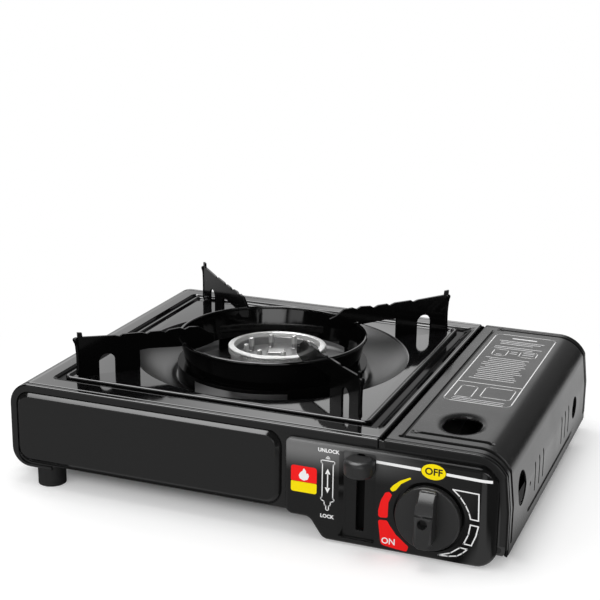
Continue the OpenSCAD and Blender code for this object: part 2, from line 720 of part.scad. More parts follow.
// ---------- knob ----------
module valve_stem() color([0.8, 0.65, 0.3]) placed() difference() {
  rod_y(knob_x, knob_z, stem_r, knob_back_y - 9, block_y0 + 7);
  difference() {
    rod_y(knob_x, knob_z, stem_r + 1, block_y0 - 2, block_y0 - 1.2);
    rod_y(knob_x, knob_z, stem_r - 0.8, block_y0 - 3, block_y0);
  }
}

module stem_clip() color("silver") placed() difference() {
  rod_y(knob_x, knob_z, 6, block_y0 - 2, block_y0 - 1.2);
  rod_y(knob_x, knob_z, stem_r - 0.8, block_y0 - 3, block_y0);
  box(knob_x - 2, knob_x + 2, block_y0 - 3, block_y0, knob_z - 8, knob_z);
}

module control_knob() color([0.09, 0.09, 0.09]) placed() {
  front = panel_y - knob_out;
  disc_y = panel_y - 6.5;
  difference() {
    union() {
      rod_y(knob_x, knob_z, knob_r, disc_y, knob_back_y);
      along_y(front, disc_y) plate2d(knob_x - 4.6, knob_x + 4.6, knob_z - knob_r, knob_z + knob_r, [4, 4, 4, 4]);
    }
    rod_y(knob_x, knob_z, stem_r, knob_back_y - 9, knob_back_y + 1);
    rod_y(knob_x, knob_z - 8, 2.1, front - 1, front + 3);
  }
}

// ---------- lever and carriage ----------
module lever_guide() color([0.55, 0.55, 0.55]) placed() {
  zl = slot_low_z - 1;
  zh = flange_z - 0.6;
  for (x = [[lever_x - 9, lever_x - 8.1], [arm_x + 2.4, arm_x + 3.3]])
    box(x[0], x[1], inner_front_y, guide_y, zl, zh);
  box(lever_x - 9, arm_x - 0.6, guide_y, guide_y + 1, zl, zh);
  box(arm_x + 1.8, arm_x + 3.3, guide_y, guide_y + 1, zl, zh);
}

module lock_lever() color([0.1, 0.1, 0.1]) placed() {
  intersection() {
    translate([lever_x, grip_front_y + grip_half_w, lever_z - grip_half_h])
      cylinder(h = 2 * grip_half_h, r = grip_half_w);
    box(lever_x - grip_half_w - 1, lever_x + grip_half_w + 1, grip_front_y - 1, grip_back_y, 0, body_h);
  }
  box(lever_x - lever_half_w, lever_x + lever_half_w, grip_back_y - 1, lever_plate_y, lever_z - 4, lever_z + 4);
}

module lever_slide() color([0.7, 0.7, 0.7]) placed() {
  z0 = lever_z - lever_plate_h / 2;
  box(lever_x - 7.8, arm_x + 1.2, lever_plate_y, lever_plate_y + 1.2, z0, z0 + lever_plate_h);
  difference() {
    box(arm_x, arm_x + 1.2, lever_plate_y + 1.2, pin_y + 3, pin_z - 5, pin_z + 5);
    translate([arm_x - 1, pin_y, pin_z]) rotate([0, 90, 0]) cylinder(h = 4, r = pin_r);
  }
}

module lever_pin() color("silver") placed() translate([cam_plate_x - 0.6, pin_y, pin_z])
  rotate([0, 90, 0]) cylinder(h = arm_x + 1.2 - cam_plate_x + 0.6, r = pin_r);

// Side plate with the slanted slot, floor strip and fork that grips the cartridge's neck
module cartridge_carriage() color([0.6, 0.6, 0.6]) placed() {
  x1 = cam_plate_x + 1.2;
  low_y = pin_y + carriage_travel;
  low_z = pin_z - lever_travel;
  slant = atan2(carriage_travel, lever_travel);
  slot_len = norm([carriage_travel, lever_travel]);
  difference() {
    along_x(cam_plate_x, x1) union() {
      polygon([[pin_y - 3.5, low_z - 4], [low_y + 5, low_z - 4], [low_y + 5, pin_z + 6], [pin_y - 3.5, pin_z + 6]]);
      polygon([[low_y - 1, strip_z], [fork_y + 1.2, strip_z], [fork_y + 1.2, low_z - 4], [low_y - 1, low_z - 4]]);
      polygon([[fork_y - 6, low_z - 5], [fork_y + 1.2, low_z - 5], [fork_y + 1.2, fork_top_z]]);
    }
    along_x(cam_plate_x - 1, x1 + 1) translate([low_y, low_z]) rotate(slant) {
      translate([-pin_slot_r, 0]) square([2 * pin_slot_r, slot_len]);
      circle(pin_slot_r);
      translate([0, slot_len]) circle(pin_slot_r);
    }
  }
  along_y(fork_y, fork_y + 1.2) difference() {
    plate2d(x1, pan_wall_x - 2, strip_z, fork_top_z, [0, 6, 4, 0]);
    translate([can_x, can_z]) circle(18);
    translate([can_x - 18, can_z]) square([36, 30]);
  }
}

module carriage_guides() color([0.55, 0.55, 0.55]) placed()
  for (y = [fork_y - 34, fork_y - 14]) {
    x1 = cam_plate_x + 1.2;
    box(cam_plate_x - 3, x1 + 3, y, y + 8, right_floor_top, right_floor_top + thick);
    box(cam_plate_x - slide_clear - 1, cam_plate_x - slide_clear, y, y + 8, right_floor_top, right_floor_top + 5);
    box(x1 + slide_clear, x1 + slide_clear + 1, y, y + 8, right_floor_top, right_floor_top + 5);
  }

rail_off = 23;
rail_top = can_z - sqrt(pow(can_r + slide_clear, 2) - pow(rail_off, 2));
module cradle_rails() color([0.55, 0.55, 0.55]) placed()
  for (s = [-1, 1]) {
    xa = can_x + s * rail_off;
    box(min(xa, xa + s * 1.2), max(xa, xa + s * 1.2), fork_y + 12, inner_back_y - 12, right_floor_top, rail_top);
    box(min(xa - s * 6, xa), max(xa - s * 6, xa), fork_y + 12, inner_back_y - 12,
      right_floor_top, right_floor_top + 0.6);
  }

module rear_stop() color([0.6, 0.6, 0.6]) placed() {
  box(can_x - 14, can_x + 14, inner_back_y - 1, inner_back_y, 16, 58);
  box(can_x - 9, can_x + 9, inner_back_y - 5.6, inner_back_y - 4.6, 20, 50);
  box(can_x - 9, can_x + 9, inner_back_y - 5.6, inner_back_y, 50, 51);
}

// ---------- lid ----------
module lid_outline(inset) {
  plate2d(lid_left - 1, x_right - inset, -20, body_h - inset, [0, 0, lid_edge_r - inset, 0]);
}

module finger_hole2d(grow) {
  w = finger_w / 2 + grow;
  l = finger_l / 2 + grow;
  plate2d(-w, w, -l, l, [w - 0.2, w - 0.2, w - 0.2, w - 0.2]);
}

module container_lid() color([0.16, 0.16, 0.16]) placed() {
  finger_y = y_front + 45;
  difference() {
    along_y(y_front, y_back) difference() {
      lid_outline(0);
      lid_outline(sheet);
      translate([0, -30]) square([x_right + 1, 30 + lid_low_z]);
      square([lid_left, body_h + 1]);
    }
    along_z(top_in_z - 1, body_h + 1) translate([x_right - 41.5, finger_y]) finger_hole2d(0);
    // clear of the walls' hinge ears
    for (y = [y_front - 1, inner_back_y - slide_clear])
      box(x_right - 4, x_right + 1, y, y + 3 + slide_clear, 0, hinge_z + 1);
    lid_side_cuts([22, 42]);
  }
  box(lid_left, lid_left + sheet, inner_front_y + slide_clear, inner_back_y - slide_clear,
    body_h - rim - 1.2, top_in_z);
  for (y = [y_front, plate_back_y]) along_y(y, y + sheet) difference() {
    lid_outline(sheet / 2);
    plate2d(0, x_right - rim + 0.2, -30, body_h - rim, [0, 0, lid_edge_r - rim, 0]);
    translate([0, -30]) square([x_right + 1, 30 + hinge_z + 3.5]);
    translate([0, -30]) square([lid_left, 130]);
  }
}

// Openings in the lid's side: two round holes, a small hole and six slots
module lid_side_cuts(vent_z) {
  along_x(x_right - 4, x_right + 1) {
    translate([y_front + 36, 39.5]) circle(11);
    translate([y_front + 59, 33]) circle(1.6);
    translate([y_back - 48, 33]) circle(8);
    for (y = [y_front + 73.5, y_front + 86, y_front + 98, y_back - 93.5, y_back - 81.5, y_back - 69.5])
      translate([y, 0]) plate2d(-1.3, 1.3, vent_z[0], vent_z[1], [1.2, 1.2, 1.2, 1.2]);
  }
}

module lid_ears() color([0.3, 0.3, 0.3]) placed()
  for (s = [0, 1]) {
    y = s == 0 ? inner_front_y + 2 * slide_clear + 1 : inner_back_y - 2 * slide_clear - 1 - 1.2;
    yf = s == 0 ? y : y - 8.8;
    along_y(y, y + 1.2) difference() {
      union() {
        translate([hinge_x, hinge_z]) circle(4.5);
        plate2d(hinge_x, x_right - sheet, hinge_z - 3.5, hinge_z + 10, [0, 0, 0, 2]);
      }
      translate([hinge_x, hinge_z]) circle(hinge_pin_r);
    }
    box(x_right - sheet - 1.2, x_right - sheet, yf, yf + 10, hinge_z, hinge_z + 10);
  }

module lid_hinge_pins() color("silver") placed()
  for (s = [0, 1]) {
    y = s == 0 ? inner_front_y + 2 * slide_clear + 1 : inner_back_y - 2 * slide_clear - 1 - 1.2;
    ya = s == 0 ? plate_front_y : y;
    yb = s == 0 ? y + 1.2 : plate_back_y;
    rod_y(hinge_x, hinge_z, hinge_pin_r, ya, yb);
    rod_y(hinge_x, hinge_z, hinge_pin_r + 1, s == 0 ? yb : ya - 1, s == 0 ? yb + 1 : ya);
  }

// ---------- pan support ----------
module drip_plate() color([0.03, 0.03, 0.03]) placed() {
  difference() {
    along_z(recess_z, plate_z) recess2d(0);
    translate([burner[0], burner[1], recess_z - 1]) cylinder(h = 3, r = dish_r);
  }
  difference() {
    along_z(plate_z, plate_z + 1.8) recess2d(0);
    along_z(plate_z - 1, plate_z + 3) recess2d(-plate_bead_w);
  }
  translate([burner[0], burner[1], 0]) rotate_extrude() polygon([
    [dish_r + 0.1, plate_z], [dish_floor_r + 2, dish_z + 2], [dish_floor_r, dish_z],
    [burner_hole_r + 1.2, dish_z], [burner_hole_r + 1.2, dish_z + 3], [burner_hole_r, dish_z + 3],
    [burner_hole_r, dish_z - 1], [dish_floor_r + 0.4, dish_z - 1], [dish_floor_r + 2.6, dish_z + 1.1],
    [dish_r + 0.1, plate_z - 1.2]]);
}

module wind_ring() color([0.04, 0.04, 0.04]) at_burner() difference() {
  rotate_extrude() union() {
    polygon([[ring_r, ring_top_z - ring_rim_r], [ring_r - sheet, ring_top_z - ring_rim_r],
      [ring_low_r - sheet, ledge_z - sheet], [ledge_r - sheet, ledge_z - sheet], [ledge_r - sheet, dish_z],
      [ledge_r, dish_z], [ledge_r, ledge_z], [ring_low_r, ledge_z]]);
    translate([ring_r, ring_top_z - ring_rim_r]) circle(ring_rim_r);
  }
  for (k = [0:3]) rotate(90 * k + 45 + 14) rotate_extrude(angle = 62)
    translate([ledge_r - 4, dish_z - 1]) square([8, 9.5]);
}

// Profile of one pan arm: along the radius and up
module arm2d() {
  z0 = plate_z;
  zt = arm_top_z;
  web = zt - 17;
  rim_z = ring_top_z;
  a = arm_reach;
  r = ring_r;
  difference() {
    polygon([[a, z0], [a - 0.8, z0 + 14], [a, zt], [a - 3.2, zt - 0.4],
      [a - 3.6, zt - 3.4], [a - 26, zt - 4.8], [a - 29.5, zt - 6], [a - 31.5, zt - 4.6], [r + 31, zt - 5],
      [r + 27, zt - 6.6], [r + 25, zt - 5.2], [r + 17.5, zt - 5.4], [r + 14, zt - 7], [r + 11.5, zt - 5.4],
      [r + 3.5, zt - 4.8], [r, zt - 6.4], [r - 3.4, zt - 5], [r - 10.4, zt - 5.6], [r - 16.7, zt - 10],
      [r - 21.4, zt - 11.6], [r - 21.4, zt - 18], [r - 16, zt - 19.6], [r - 9, zt - 21.4], [r - 3, zt - 20.6],
      [r - 1.8, rim_z - 3.2], [r - 1.8, rim_z + 0.3], [r + 1.8, rim_z + 0.3],
      [r + 1.8, rim_z - 1.5], [r + 4, web - 1.4],
      [r + 26, web], [r + 32.6, web - 0.4], [r + 32.6, z0]]);
    plate2d(a - 26, a - 14.6, z0 - 10, web, [0, 0, 5.6, 5.6]);
  }
}

module pan_arm(a) color([0.03, 0.03, 0.03]) at_burner() rotate(a) along_y(-arm_t / 2, arm_t / 2) arm2d();
module pan_arm_front_left() pan_arm(225);
module pan_arm_front_right() pan_arm(315);
module pan_arm_back_left() pan_arm(135);
module pan_arm_back_right() pan_arm(45);

body_shell();
front_panel();
back_panel();
base_pan();
partition_wall();
control_panel();
panel_screws();
body_screws();
rubber_feet();
foot_screws();
low_pads();
burner_bowl();
burner_insert();
burner_ring();
burner_bracket();
bracket_screws();
mixing_tube();
electrode_clip();
electrode_insulator();
electrode_pin();
igniter_lead();
piezo_igniter();
igniter_bracket();
igniter_plunger();
igniter_spring();
igniter_cam();
regulator_body();
regulator_diaphragm();
regulator_cover();
regulator_spring();
regulator_screws();
regulator_bracket();
gas_jet();
socket_seal();
valve_stem();
stem_clip();
control_knob();
lever_guide();
lock_lever();
lever_slide();
lever_pin();
cartridge_carriage();
carriage_guides();
cradle_rails();
rear_stop();
container_lid();
lid_ears();
lid_hinge_pins();
drip_plate();
wind_ring();
pan_arm_front_left();
pan_arm_front_right();
pan_arm_back_left();
pan_arm_back_right();
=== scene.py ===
import json
import math

import bmesh
import bpy
from mathutils import Matrix, Vector


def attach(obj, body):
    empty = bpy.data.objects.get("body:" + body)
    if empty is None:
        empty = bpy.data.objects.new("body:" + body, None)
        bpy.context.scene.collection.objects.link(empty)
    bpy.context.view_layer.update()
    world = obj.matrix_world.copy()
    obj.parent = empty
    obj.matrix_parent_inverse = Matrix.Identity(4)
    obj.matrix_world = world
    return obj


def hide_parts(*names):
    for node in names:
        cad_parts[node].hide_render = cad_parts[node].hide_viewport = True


bl_info = {
    "name": "Cassette stove",
    "version": (1, 0, 0),
    "blender": (4, 5, 0),
    "location": "View3D > Sidebar > Stove",
    "description": "Dresses the packed frame of a portable butane stove",
    "category": "Object",
}

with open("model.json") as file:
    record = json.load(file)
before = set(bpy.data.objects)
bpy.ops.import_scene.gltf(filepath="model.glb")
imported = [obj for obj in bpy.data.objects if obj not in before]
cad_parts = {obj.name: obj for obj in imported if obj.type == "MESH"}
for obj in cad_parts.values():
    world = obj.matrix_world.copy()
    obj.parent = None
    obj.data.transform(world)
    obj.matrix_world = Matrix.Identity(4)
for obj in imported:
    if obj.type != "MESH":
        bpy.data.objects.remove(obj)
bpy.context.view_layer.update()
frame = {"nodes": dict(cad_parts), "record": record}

# Places and sizes are in millimetres unless a comment says metres
MM = 0.001
# The sheet body sits this far behind the middle of the whole stove
BODY_BACK = 9.5
FRONT, BACK = -126.0, 126.0
TOP = 71.6
# Faces above this height, in metres, belong to the flat top
FLAT_TOP = 0.07
BURNER = (-33.5, 3.5)
BURNER_TOP = 74.1
# The burner as it sits on its bracket: its shift, and its lean in degrees about a line turned from the X axis
BURNER_SHIFT = (2.9, 1.7, 2.8)
BURNER_LEAN, LEAN_LINE = -2.0, 21.7
KNOB = (122.4, 28.0)
LEVER = (78.7, 54.0)
# Drip plate: left, right, front, back
PLATE = (-142.0, 75.0, -103.0, 107.0)
# Where cuts through the lid's side and the front wall start and end, and where those in the panel start
LID_CUT = (160, 175)
WALL_CUT = (-130, -118)
PANEL_OUT = -135
# Face of the control panel, where it starts to fall back at its right, how far, and where it is divided there
PANEL_FACE = FRONT - 3.5
SHOULDER_X, SHOULDER_FALL = 152, 2.2
SHOULDER_ROWS = (152.5, 154.0, 156.3, 157.8, 160.8)
# Thickness of a printed layer
INK = 0.06
MATERIALS = {}


def at(x, y, z):
    """A place given in the body's millimetres, in metres of the frame."""
    return Vector((x, y + BODY_BACK, z)) * MM


# ---------- building blocks ----------
def turn_about(degrees, axis):
    """A rotation about an axis."""
    return Matrix.Rotation(math.radians(degrees), 4, axis)


def move_to(x, y, z):
    """A shift from the frame's origin to a place."""
    return Matrix.Translation(at(x, y, z))


def arc(cx, cz, r, start, end, steps):
    """Points of an arc, each with the direction out of it."""
    turned = [math.radians(start + (end - start) * i / steps) for i in range(steps + 1)]
    return [(cx + r * math.cos(a), cz + r * math.sin(a), math.cos(a), math.sin(a)) for a in turned]


def arc_points(*measures):
    """Points of an arc alone."""
    return [point[:2] for point in arc(*measures)]


def rounded_rect(x0, x1, y0, y1, r, steps=8):
    """Corner points of a rounded rectangle, anticlockwise."""
    corners = ((x1 - r, y1 - r), (x0 + r, y1 - r), (x0 + r, y0 + r), (x1 - r, y0 + r))
    points = []
    for i, (cx, cy) in enumerate(corners):
        points += arc_points(cx, cy, r, i * 90, i * 90 + 90, steps)
    return points


def four(x0, x1, z0, z1, low=0, high=None):
    """Corners of a rectangle, with the radius of its lower and of its upper ones."""
    high = low if high is None else high
    return [(x0, z0, low), (x1, z0, low), (x1, z1, high), (x0, z1, high)]


def along(axis, level, a, b):
    """A place with its level on one axis, and a and b on the two others."""
    return {"x": (level, a, b), "y": (a, level, b), "z": (a, b, level)}[axis]


def start_mesh():
    """A bmesh whose vertices remember their number along a ring."""
    bm = bmesh.new()
    bm.verts.layers.int.new("place")
    return bm


def ring(bm, points, closed=True):
    """A first ring or chain of vertices, and its edges."""
    place = bm.verts.layers.int["place"]
    verts = [bm.verts.new(p) for p in points]
    for i, v in enumerate(verts):
        v[place] = i
    pairs = zip(verts, verts[1:] + verts[:1] if closed else verts[1:])
    return [bm.edges.new(pair) for pair in pairs]


def pull(bm, edges, points, upto=None):
    """Extrudes a ring's edges, and puts the new vertices on the points of the same number."""
    place = bm.verts.layers.int["place"]
    if upto is not None:
        edges = [e for e in edges if all(v[place] <= upto for v in e.verts)]
    made = bmesh.ops.extrude_edge_only(bm, edges=edges)["geom"]
    fresh = {g for g in made if isinstance(g, bmesh.types.BMVert)}
    for v in fresh:
        v.co = points[v[place]]
    return [g for g in made if isinstance(g, bmesh.types.BMEdge) and set(g.verts) <= fresh]


def fill(bm, *rings):
    """Fills the flat region between rings."""
    bmesh.ops.triangle_fill(bm, use_beauty=True, edges=[e for r in rings for e in r])


def push(bm, way):
    """Extrudes all faces by a way, and returns the vertices that moved."""
    made = bmesh.ops.extrude_face_region(bm, geom=bm.faces[:])["geom"]
    moved = [g for g in made if isinstance(g, bmesh.types.BMVert)]
    bmesh.ops.translate(bm, verts=moved, vec=Vector(way) * MM)
    return moved


def bevel(bm, geom, width, segments, affect="EDGES", clamp=False):
    """Rounds edges or corners of a bmesh."""
    bmesh.ops.bevel(bm, geom=geom, offset=width * MM, offset_type="OFFSET", segments=segments, profile=0.5,
                    affect=affect, material=-1, clamp_overlap=clamp)


def divide(bm, place, across):
    """Adds edges where a plane crosses a bmesh."""
    bmesh.ops.bisect_plane(bm, geom=bm.verts[:] + bm.edges[:] + bm.faces[:], plane_co=place, plane_no=across)


def merge(bm):
    """Merges vertices that coincide, and removes the faces that this leaves empty."""
    bmesh.ops.remove_doubles(bm, verts=bm.verts, dist=1e-6)
    bmesh.ops.dissolve_degenerate(bm, edges=bm.edges, dist=1e-7)


def turn_outward(bm, way, above=-1.0):
    """Turns all faces so that those above a height, in metres, look a way on the whole."""
    bmesh.ops.recalc_face_normals(bm, faces=bm.faces)
    faces = [f for f in bm.faces if f.calc_center_median().z > above]
    if sum(f.normal.dot(Vector(way)) * f.calc_area() for f in faces) < 0:
        bmesh.ops.reverse_faces(bm, faces=bm.faces)


def outline_face(bm, corners, place):
    """A flat face from a few corners, each rounded by its own radius."""
    verts = [bm.verts.new(place(c[0], c[1])) for c in corners]
    bm.faces.new(verts)
    count = len(corners)
    for i, (vert, corner) in enumerate(zip(verts, corners)):
        if len(corner) < 3 or not corner[2]:
            continue
        here = Vector(corner[:2])
        one = (Vector(corners[i - 1][:2]) - here).normalized()
        two = (Vector(corners[(i + 1) % count][:2]) - here).normalized()
        bevel(bm, [vert], corner[2] / math.tan(one.angle(two) / 2), 8, "VERTICES")


def prism(corners, axis, lo, hi):
    """A bmesh prism along an axis; corners are in the two other axes' order."""
    bm = bmesh.new()
    outline_face(bm, corners, lambda a, b: at(*along(axis, lo, a, b)))
    push(bm, along(axis, hi - lo, 0, 0))
    bmesh.ops.recalc_face_normals(bm, faces=bm.faces)
    return bm


def rod(a, b, axis, r, lo, hi, sides=48):
    """A bmesh cylinder along an axis through (a, b)."""
    bm = bmesh.new()
    bmesh.ops.create_cone(bm, cap_ends=True, segments=sides, radius1=r * MM, radius2=r * MM,
                          depth=(hi - lo) * MM)
    turn = {"x": turn_about(90, "Y"), "y": turn_about(90, "X"), "z": Matrix()}[axis]
    middle = along(axis, (lo + hi) / 2, a, b)
    bmesh.ops.transform(bm, matrix=move_to(*middle) @ turn, verts=bm.verts)
    return bm


def spun(bm, profile):
    """Spins a chain of (radius, height) points round the burner's axis."""
    verts = [bm.verts.new(at(BURNER[0] + r, BURNER[1], z)) for r, z in profile]
    edges = [bm.edges.new(pair) for pair in zip(verts, verts[1:])]
    bmesh.ops.spin(bm, geom=verts + edges, cent=at(*BURNER, 0), axis=(0, 0, 1), angle=math.tau, steps=144,
                   use_merge=True, use_duplicate=False)


def join(bm, other):
    """Adds another bmesh to this one."""
    mesh = bpy.data.meshes.new("joined")
    other.to_mesh(mesh)
    other.free()
    bm.from_mesh(mesh)
    bpy.data.meshes.remove(mesh)


def as_object(name, bm):
    """Makes an object from a bmesh and frees it."""
    mesh = bpy.data.meshes.new(name)
    bm.normal_update()
    bm.to_mesh(mesh)
    bm.free()
    obj = bpy.data.objects.new(name, mesh)
    bpy.context.scene.collection.objects.link(obj)
    return obj


def settle(obj):
    """Applies the object's modifiers."""
    bpy.context.view_layer.update()
    evaluated = obj.evaluated_get(bpy.context.evaluated_depsgraph_get())
    mesh = bpy.data.meshes.new_from_object(evaluated)
    old = obj.data
    obj.modifiers.clear()
    obj.data = mesh
    mesh.name = obj.name
    bpy.data.meshes.remove(old)


def combine(obj, tools, operation="DIFFERENCE"):
    """Cuts tools from an object, or joins them to it."""
    parts = [as_object("tool", tool) for tool in tools]
    for part in parts:
        mod = obj.modifiers.new("cut", "BOOLEAN")
        mod.operation, mod.solver, mod.object = operation, "EXACT", part
    settle(obj)
    for part in parts:
        mesh = part.data
        bpy.data.objects.remove(part)
        bpy.data.meshes.remove(mesh)


def thicken(obj, thickness):
    """Gives a sheet its thickness, inward from its face."""
    mod = obj.modifiers.new("sheet", "SOLIDIFY")
    mod.thickness, mod.offset, mod.use_even_offset = thickness * MM, -1.0, True


def as_sheet(name, bm):
    """Makes an object of the stove's sheet metal from a bmesh of its face."""
    obj = as_object(name, bm)
    thicken(obj, bpy.context.scene.stove_sizes.sheet)
    settle(obj)
    return obj


def soften(obj, width, angle=50):
    """Rounds the edges of an object that are sharper than an angle."""
    mod = obj.modifiers.new("edges", "BEVEL")
    mod.width, mod.segments, mod.limit_method = width * MM, 2, "ANGLE"
    mod.angle_limit, mod.use_clamp_overlap, mod.miter_outer = math.radians(angle), True, "MITER_ARC"
    mod.harden_normals = False


def done(obj, body, slot, material, *replaced, sharp=40, weighted=True):
    """Shades a finished piece, and puts it on its body."""
    obj.data.shade_smooth()
    obj.data.set_sharp_from_angle(angle=math.radians(sharp))
    if weighted:
        mod = obj.modifiers.new("shading", "WEIGHTED_NORMAL")
        mod.keep_sharp, mod.weight = True, 80
    obj.data.materials.clear()
    obj.data.materials.append(MATERIALS[material])
    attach(obj, body)
    if replaced:
        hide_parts(*replaced)


def copy_of(node):
    """A merged copy of a CAD node's mesh, as a new object."""
    bm = bmesh.new()
    bm.from_mesh(frame["nodes"][node].data)
    bmesh.ops.remove_doubles(bm, verts=bm.verts, dist=2e-6)
    bmesh.ops.dissolve_limit(bm, angle_limit=math.radians(0.4), use_dissolve_boundaries=False,
                             verts=bm.verts, edges=bm.edges, delimit={"NORMAL"})
    return as_object(node + "_shape", bm)


# ---------- materials ----------
class Recipe:
    """A node tree, with short ways to add nodes to it and to link them."""

    def __init__(self, tree):
        self.nodes, self.links = tree.nodes, tree.links
        self.shader = tree.nodes.get("Principled BSDF")

    def feed(self, node, inputs):
        """Gives a node's inputs their values or links."""
        for name, value in inputs.items():
            if isinstance(value, bpy.types.NodeSocket):
                self.links.new(value, node.inputs[name])
            else:
                node.inputs[name].default_value = value

    def node(self, kind, inputs=None, **settings):
        """Adds a node and returns its outputs."""
        node = self.nodes.new("ShaderNode" + kind)
        for name, value in settings.items():
            setattr(node, name, value)
        self.feed(node, inputs or {})
        return node.outputs

    def dress(self, **inputs):
        """Gives the main shader's inputs their values or links."""
        self.feed(self.shader, {name.replace("_", " "): value for name, value in inputs.items()})

    def place(self):
        """The object's own coordinates."""
        return self.node("TexCoord")["Object"]

    def split(self, vector):
        """The three parts of a vector."""
        return self.node("SeparateXYZ", {"Vector": vector})

    def distance(self, x, y):
        """Distance from an upright axis."""
        flat = self.node("VectorMath", {0: self.place(), 1: (1, 1, 0)}, operation="MULTIPLY")["Vector"]
        return self.node("VectorMath", {0: flat, 1: at(x, y, 0)}, operation="DISTANCE")["Value"]

    def noise(self, vector, scale, detail):
        """Soft noise."""
        return self.node("TexNoise", {"Vector": vector, "Scale": scale, "Detail": detail})["Fac"]

    def ramp(self, value, lo, hi, a=0.0, b=1.0, kind="SMOOTHSTEP"):
        """A step of a value from a to b, smooth unless its kind is another."""
        reach = {"Value": value, "From Min": lo, "From Max": hi, "To Min": a, "To Max": b}
        return self.node("MapRange", reach, interpolation_type=kind)["Result"]

    def times(self, *values):
        """The product of values."""
        return self.maths("MULTIPLY", *values)

    def maths(self, operation, first, *others):
        """Joins values by an operation, one after the other."""
        for other in others:
            first = self.node("Math", {0: first, 1: other}, operation=operation)["Value"]
        return first

    def blend(self, factor, a, b):
        """A colour between two."""
        return self.node("Mix", {"Factor": factor, "A": a, "B": b}, data_type="RGBA")["Result"]

    def mix(self, factor, one, two):
        """A shader between two."""
        return self.node("MixShader", {"Fac": factor, 1: one, 2: two})["Shader"]

    def group(self, name, inputs):
        """The outputs of a shared group."""
        return self.node("Group", inputs, node_tree=bpy.data.node_groups[name])

    def bump(self, height, strength, distance):
        """Raises the main shader's surface."""
        inputs = {"Strength": strength, "Distance": distance, "Height": height}
        self.dress(Normal=self.node("Bump", inputs)["Normal"])


FLOAT, COLOUR = "NodeSocketFloat", "NodeSocketColor"


def new_group(name, inputs, outputs):
    """A shared group and the values given to it; its sockets have a kind, a name and maybe a default."""
    group = bpy.data.node_groups.new(name, "ShaderNodeTree")
    for direction, sockets in (("INPUT", inputs), ("OUTPUT", outputs)):
        for kind, label, *default in sockets:
            socket = group.interface.new_socket(name=label, in_out=direction, socket_type=kind)
            if default:
                socket.default_value = default[0]
    look = Recipe(group)
    return look, look.nodes.new("NodeGroupInput").outputs


def skin_group():
    """Orange peel and fine mottling of sprayed enamel."""
    look, given = new_group("enamel_skin", [(FLOAT, "Peel Scale", 420.0), (FLOAT, "Mottle Scale", 30.0),
                                            (FLOAT, "Low", 0.1), (FLOAT, "High", 0.2)],
                            [(FLOAT, "Height"), (FLOAT, "Roughness")])
    place = look.place()
    mottle = look.noise(place, given["Mottle Scale"], 5.0)
    rough = look.ramp(mottle, 0.35, 0.7, given["Low"], given["High"], "LINEAR")
    height = look.noise(place, given["Peel Scale"], 1.0)
    look.feed(look.nodes.new("NodeGroupOutput"), {"Height": height, "Roughness": rough})


def grain_group():
    """Fine grain of cast or plated metal, in colour, roughness and height."""
    look, given = new_group("metal_grain", [(FLOAT, "Scale", 300.0), (COLOUR, "Light", (0.8, 0.8, 0.8, 1)),
                                            (COLOUR, "Dark", (0.6, 0.6, 0.6, 1)), (FLOAT, "Low", 0.2),
                                            (FLOAT, "High", 0.35)],
                            [(COLOUR, "Colour"), (FLOAT, "Roughness"), (FLOAT, "Height")])
    place = look.place()
    grain = look.noise(place, given["Scale"], 6.0)
    cells = look.node("TexVoronoi", {"Vector": place, "Scale": given["Scale"]})["Distance"]
    rough = look.ramp(cells, 0.0, 1.0, given["Low"], given["High"], "LINEAR")
    colour = look.blend(grain, given["Light"], given["Dark"])
    look.feed(look.nodes.new("NodeGroupOutput"), {"Colour": colour, "Roughness": rough, "Height": grain})


def new_material(name):
    """A new finish."""
    mat = bpy.data.materials.new(name)
    mat.use_nodes = True
    MATERIALS[name] = mat
    return Recipe(mat.node_tree)


def enamel(name, colour, low, high, specular, peel=0.02, scale=420.0, painted_line_shade=False):
    """Sprayed and baked paint; where the mesh marks pressed lines and shaded walls, their shine is taken down
    as painted shade that darkens them.
    """
    look = new_material(name)
    skin = look.group("enamel_skin", {"Peel Scale": scale, "Low": low, "High": high})
    look.dress(Base_Color=(*colour, 1), Specular_IOR_Level=specular, Roughness=skin["Roughness"])
    if painted_line_shade:
        # Painted shade: the marked lines and walls lose almost all their shine, so they read dark.
        mark = look.node("Attribute", attribute_name="groove")["Fac"]
        look.dress(Specular_IOR_Level=look.ramp(mark, 0.25, 0.75, specular, 0.03))
    look.bump(skin["Height"], peel, 0.0002)
    return look


def metal(name, light, dark, low, high, scale, grain=0.05):
    """Bare or plated metal."""
    look = new_material(name)
    plate = look.group("metal_grain", {"Scale": scale, "Light": (*light, 1), "Dark": (*dark, 1), "Low": low,
                                       "High": high})
    look.dress(Metallic=1.0, Base_Color=plate["Colour"], Roughness=plate["Roughness"])
    look.bump(plate["Height"], grain, 0.0003)


def burner_metal(name, light, dark, axis, reach):
    """Cast alloy, darkened as painted shade within a reach: near the axis when one is given, otherwise low
    down.
    """
    look = new_material(name)
    alloy = look.group("metal_grain", {"Scale": 420.0, "Light": (light, light, light * 0.99, 1), "Low": 0.3,
                                       "Dark": (light * 0.88, light * 0.88, light * 0.87, 1), "High": 0.4})
    shade_measure = look.distance(*axis) if axis else look.split(look.place())["Z"]
    # Painted shade: the dark colour fills what lies within the reach, the alloy's own colour what lies beyond
    # it.
    colour = look.blend(look.ramp(shade_measure, *reach), (dark, dark, dark, 1), alloy["Colour"])
    look.dress(Metallic=0.72, Base_Color=colour, Roughness=alloy["Roughness"])


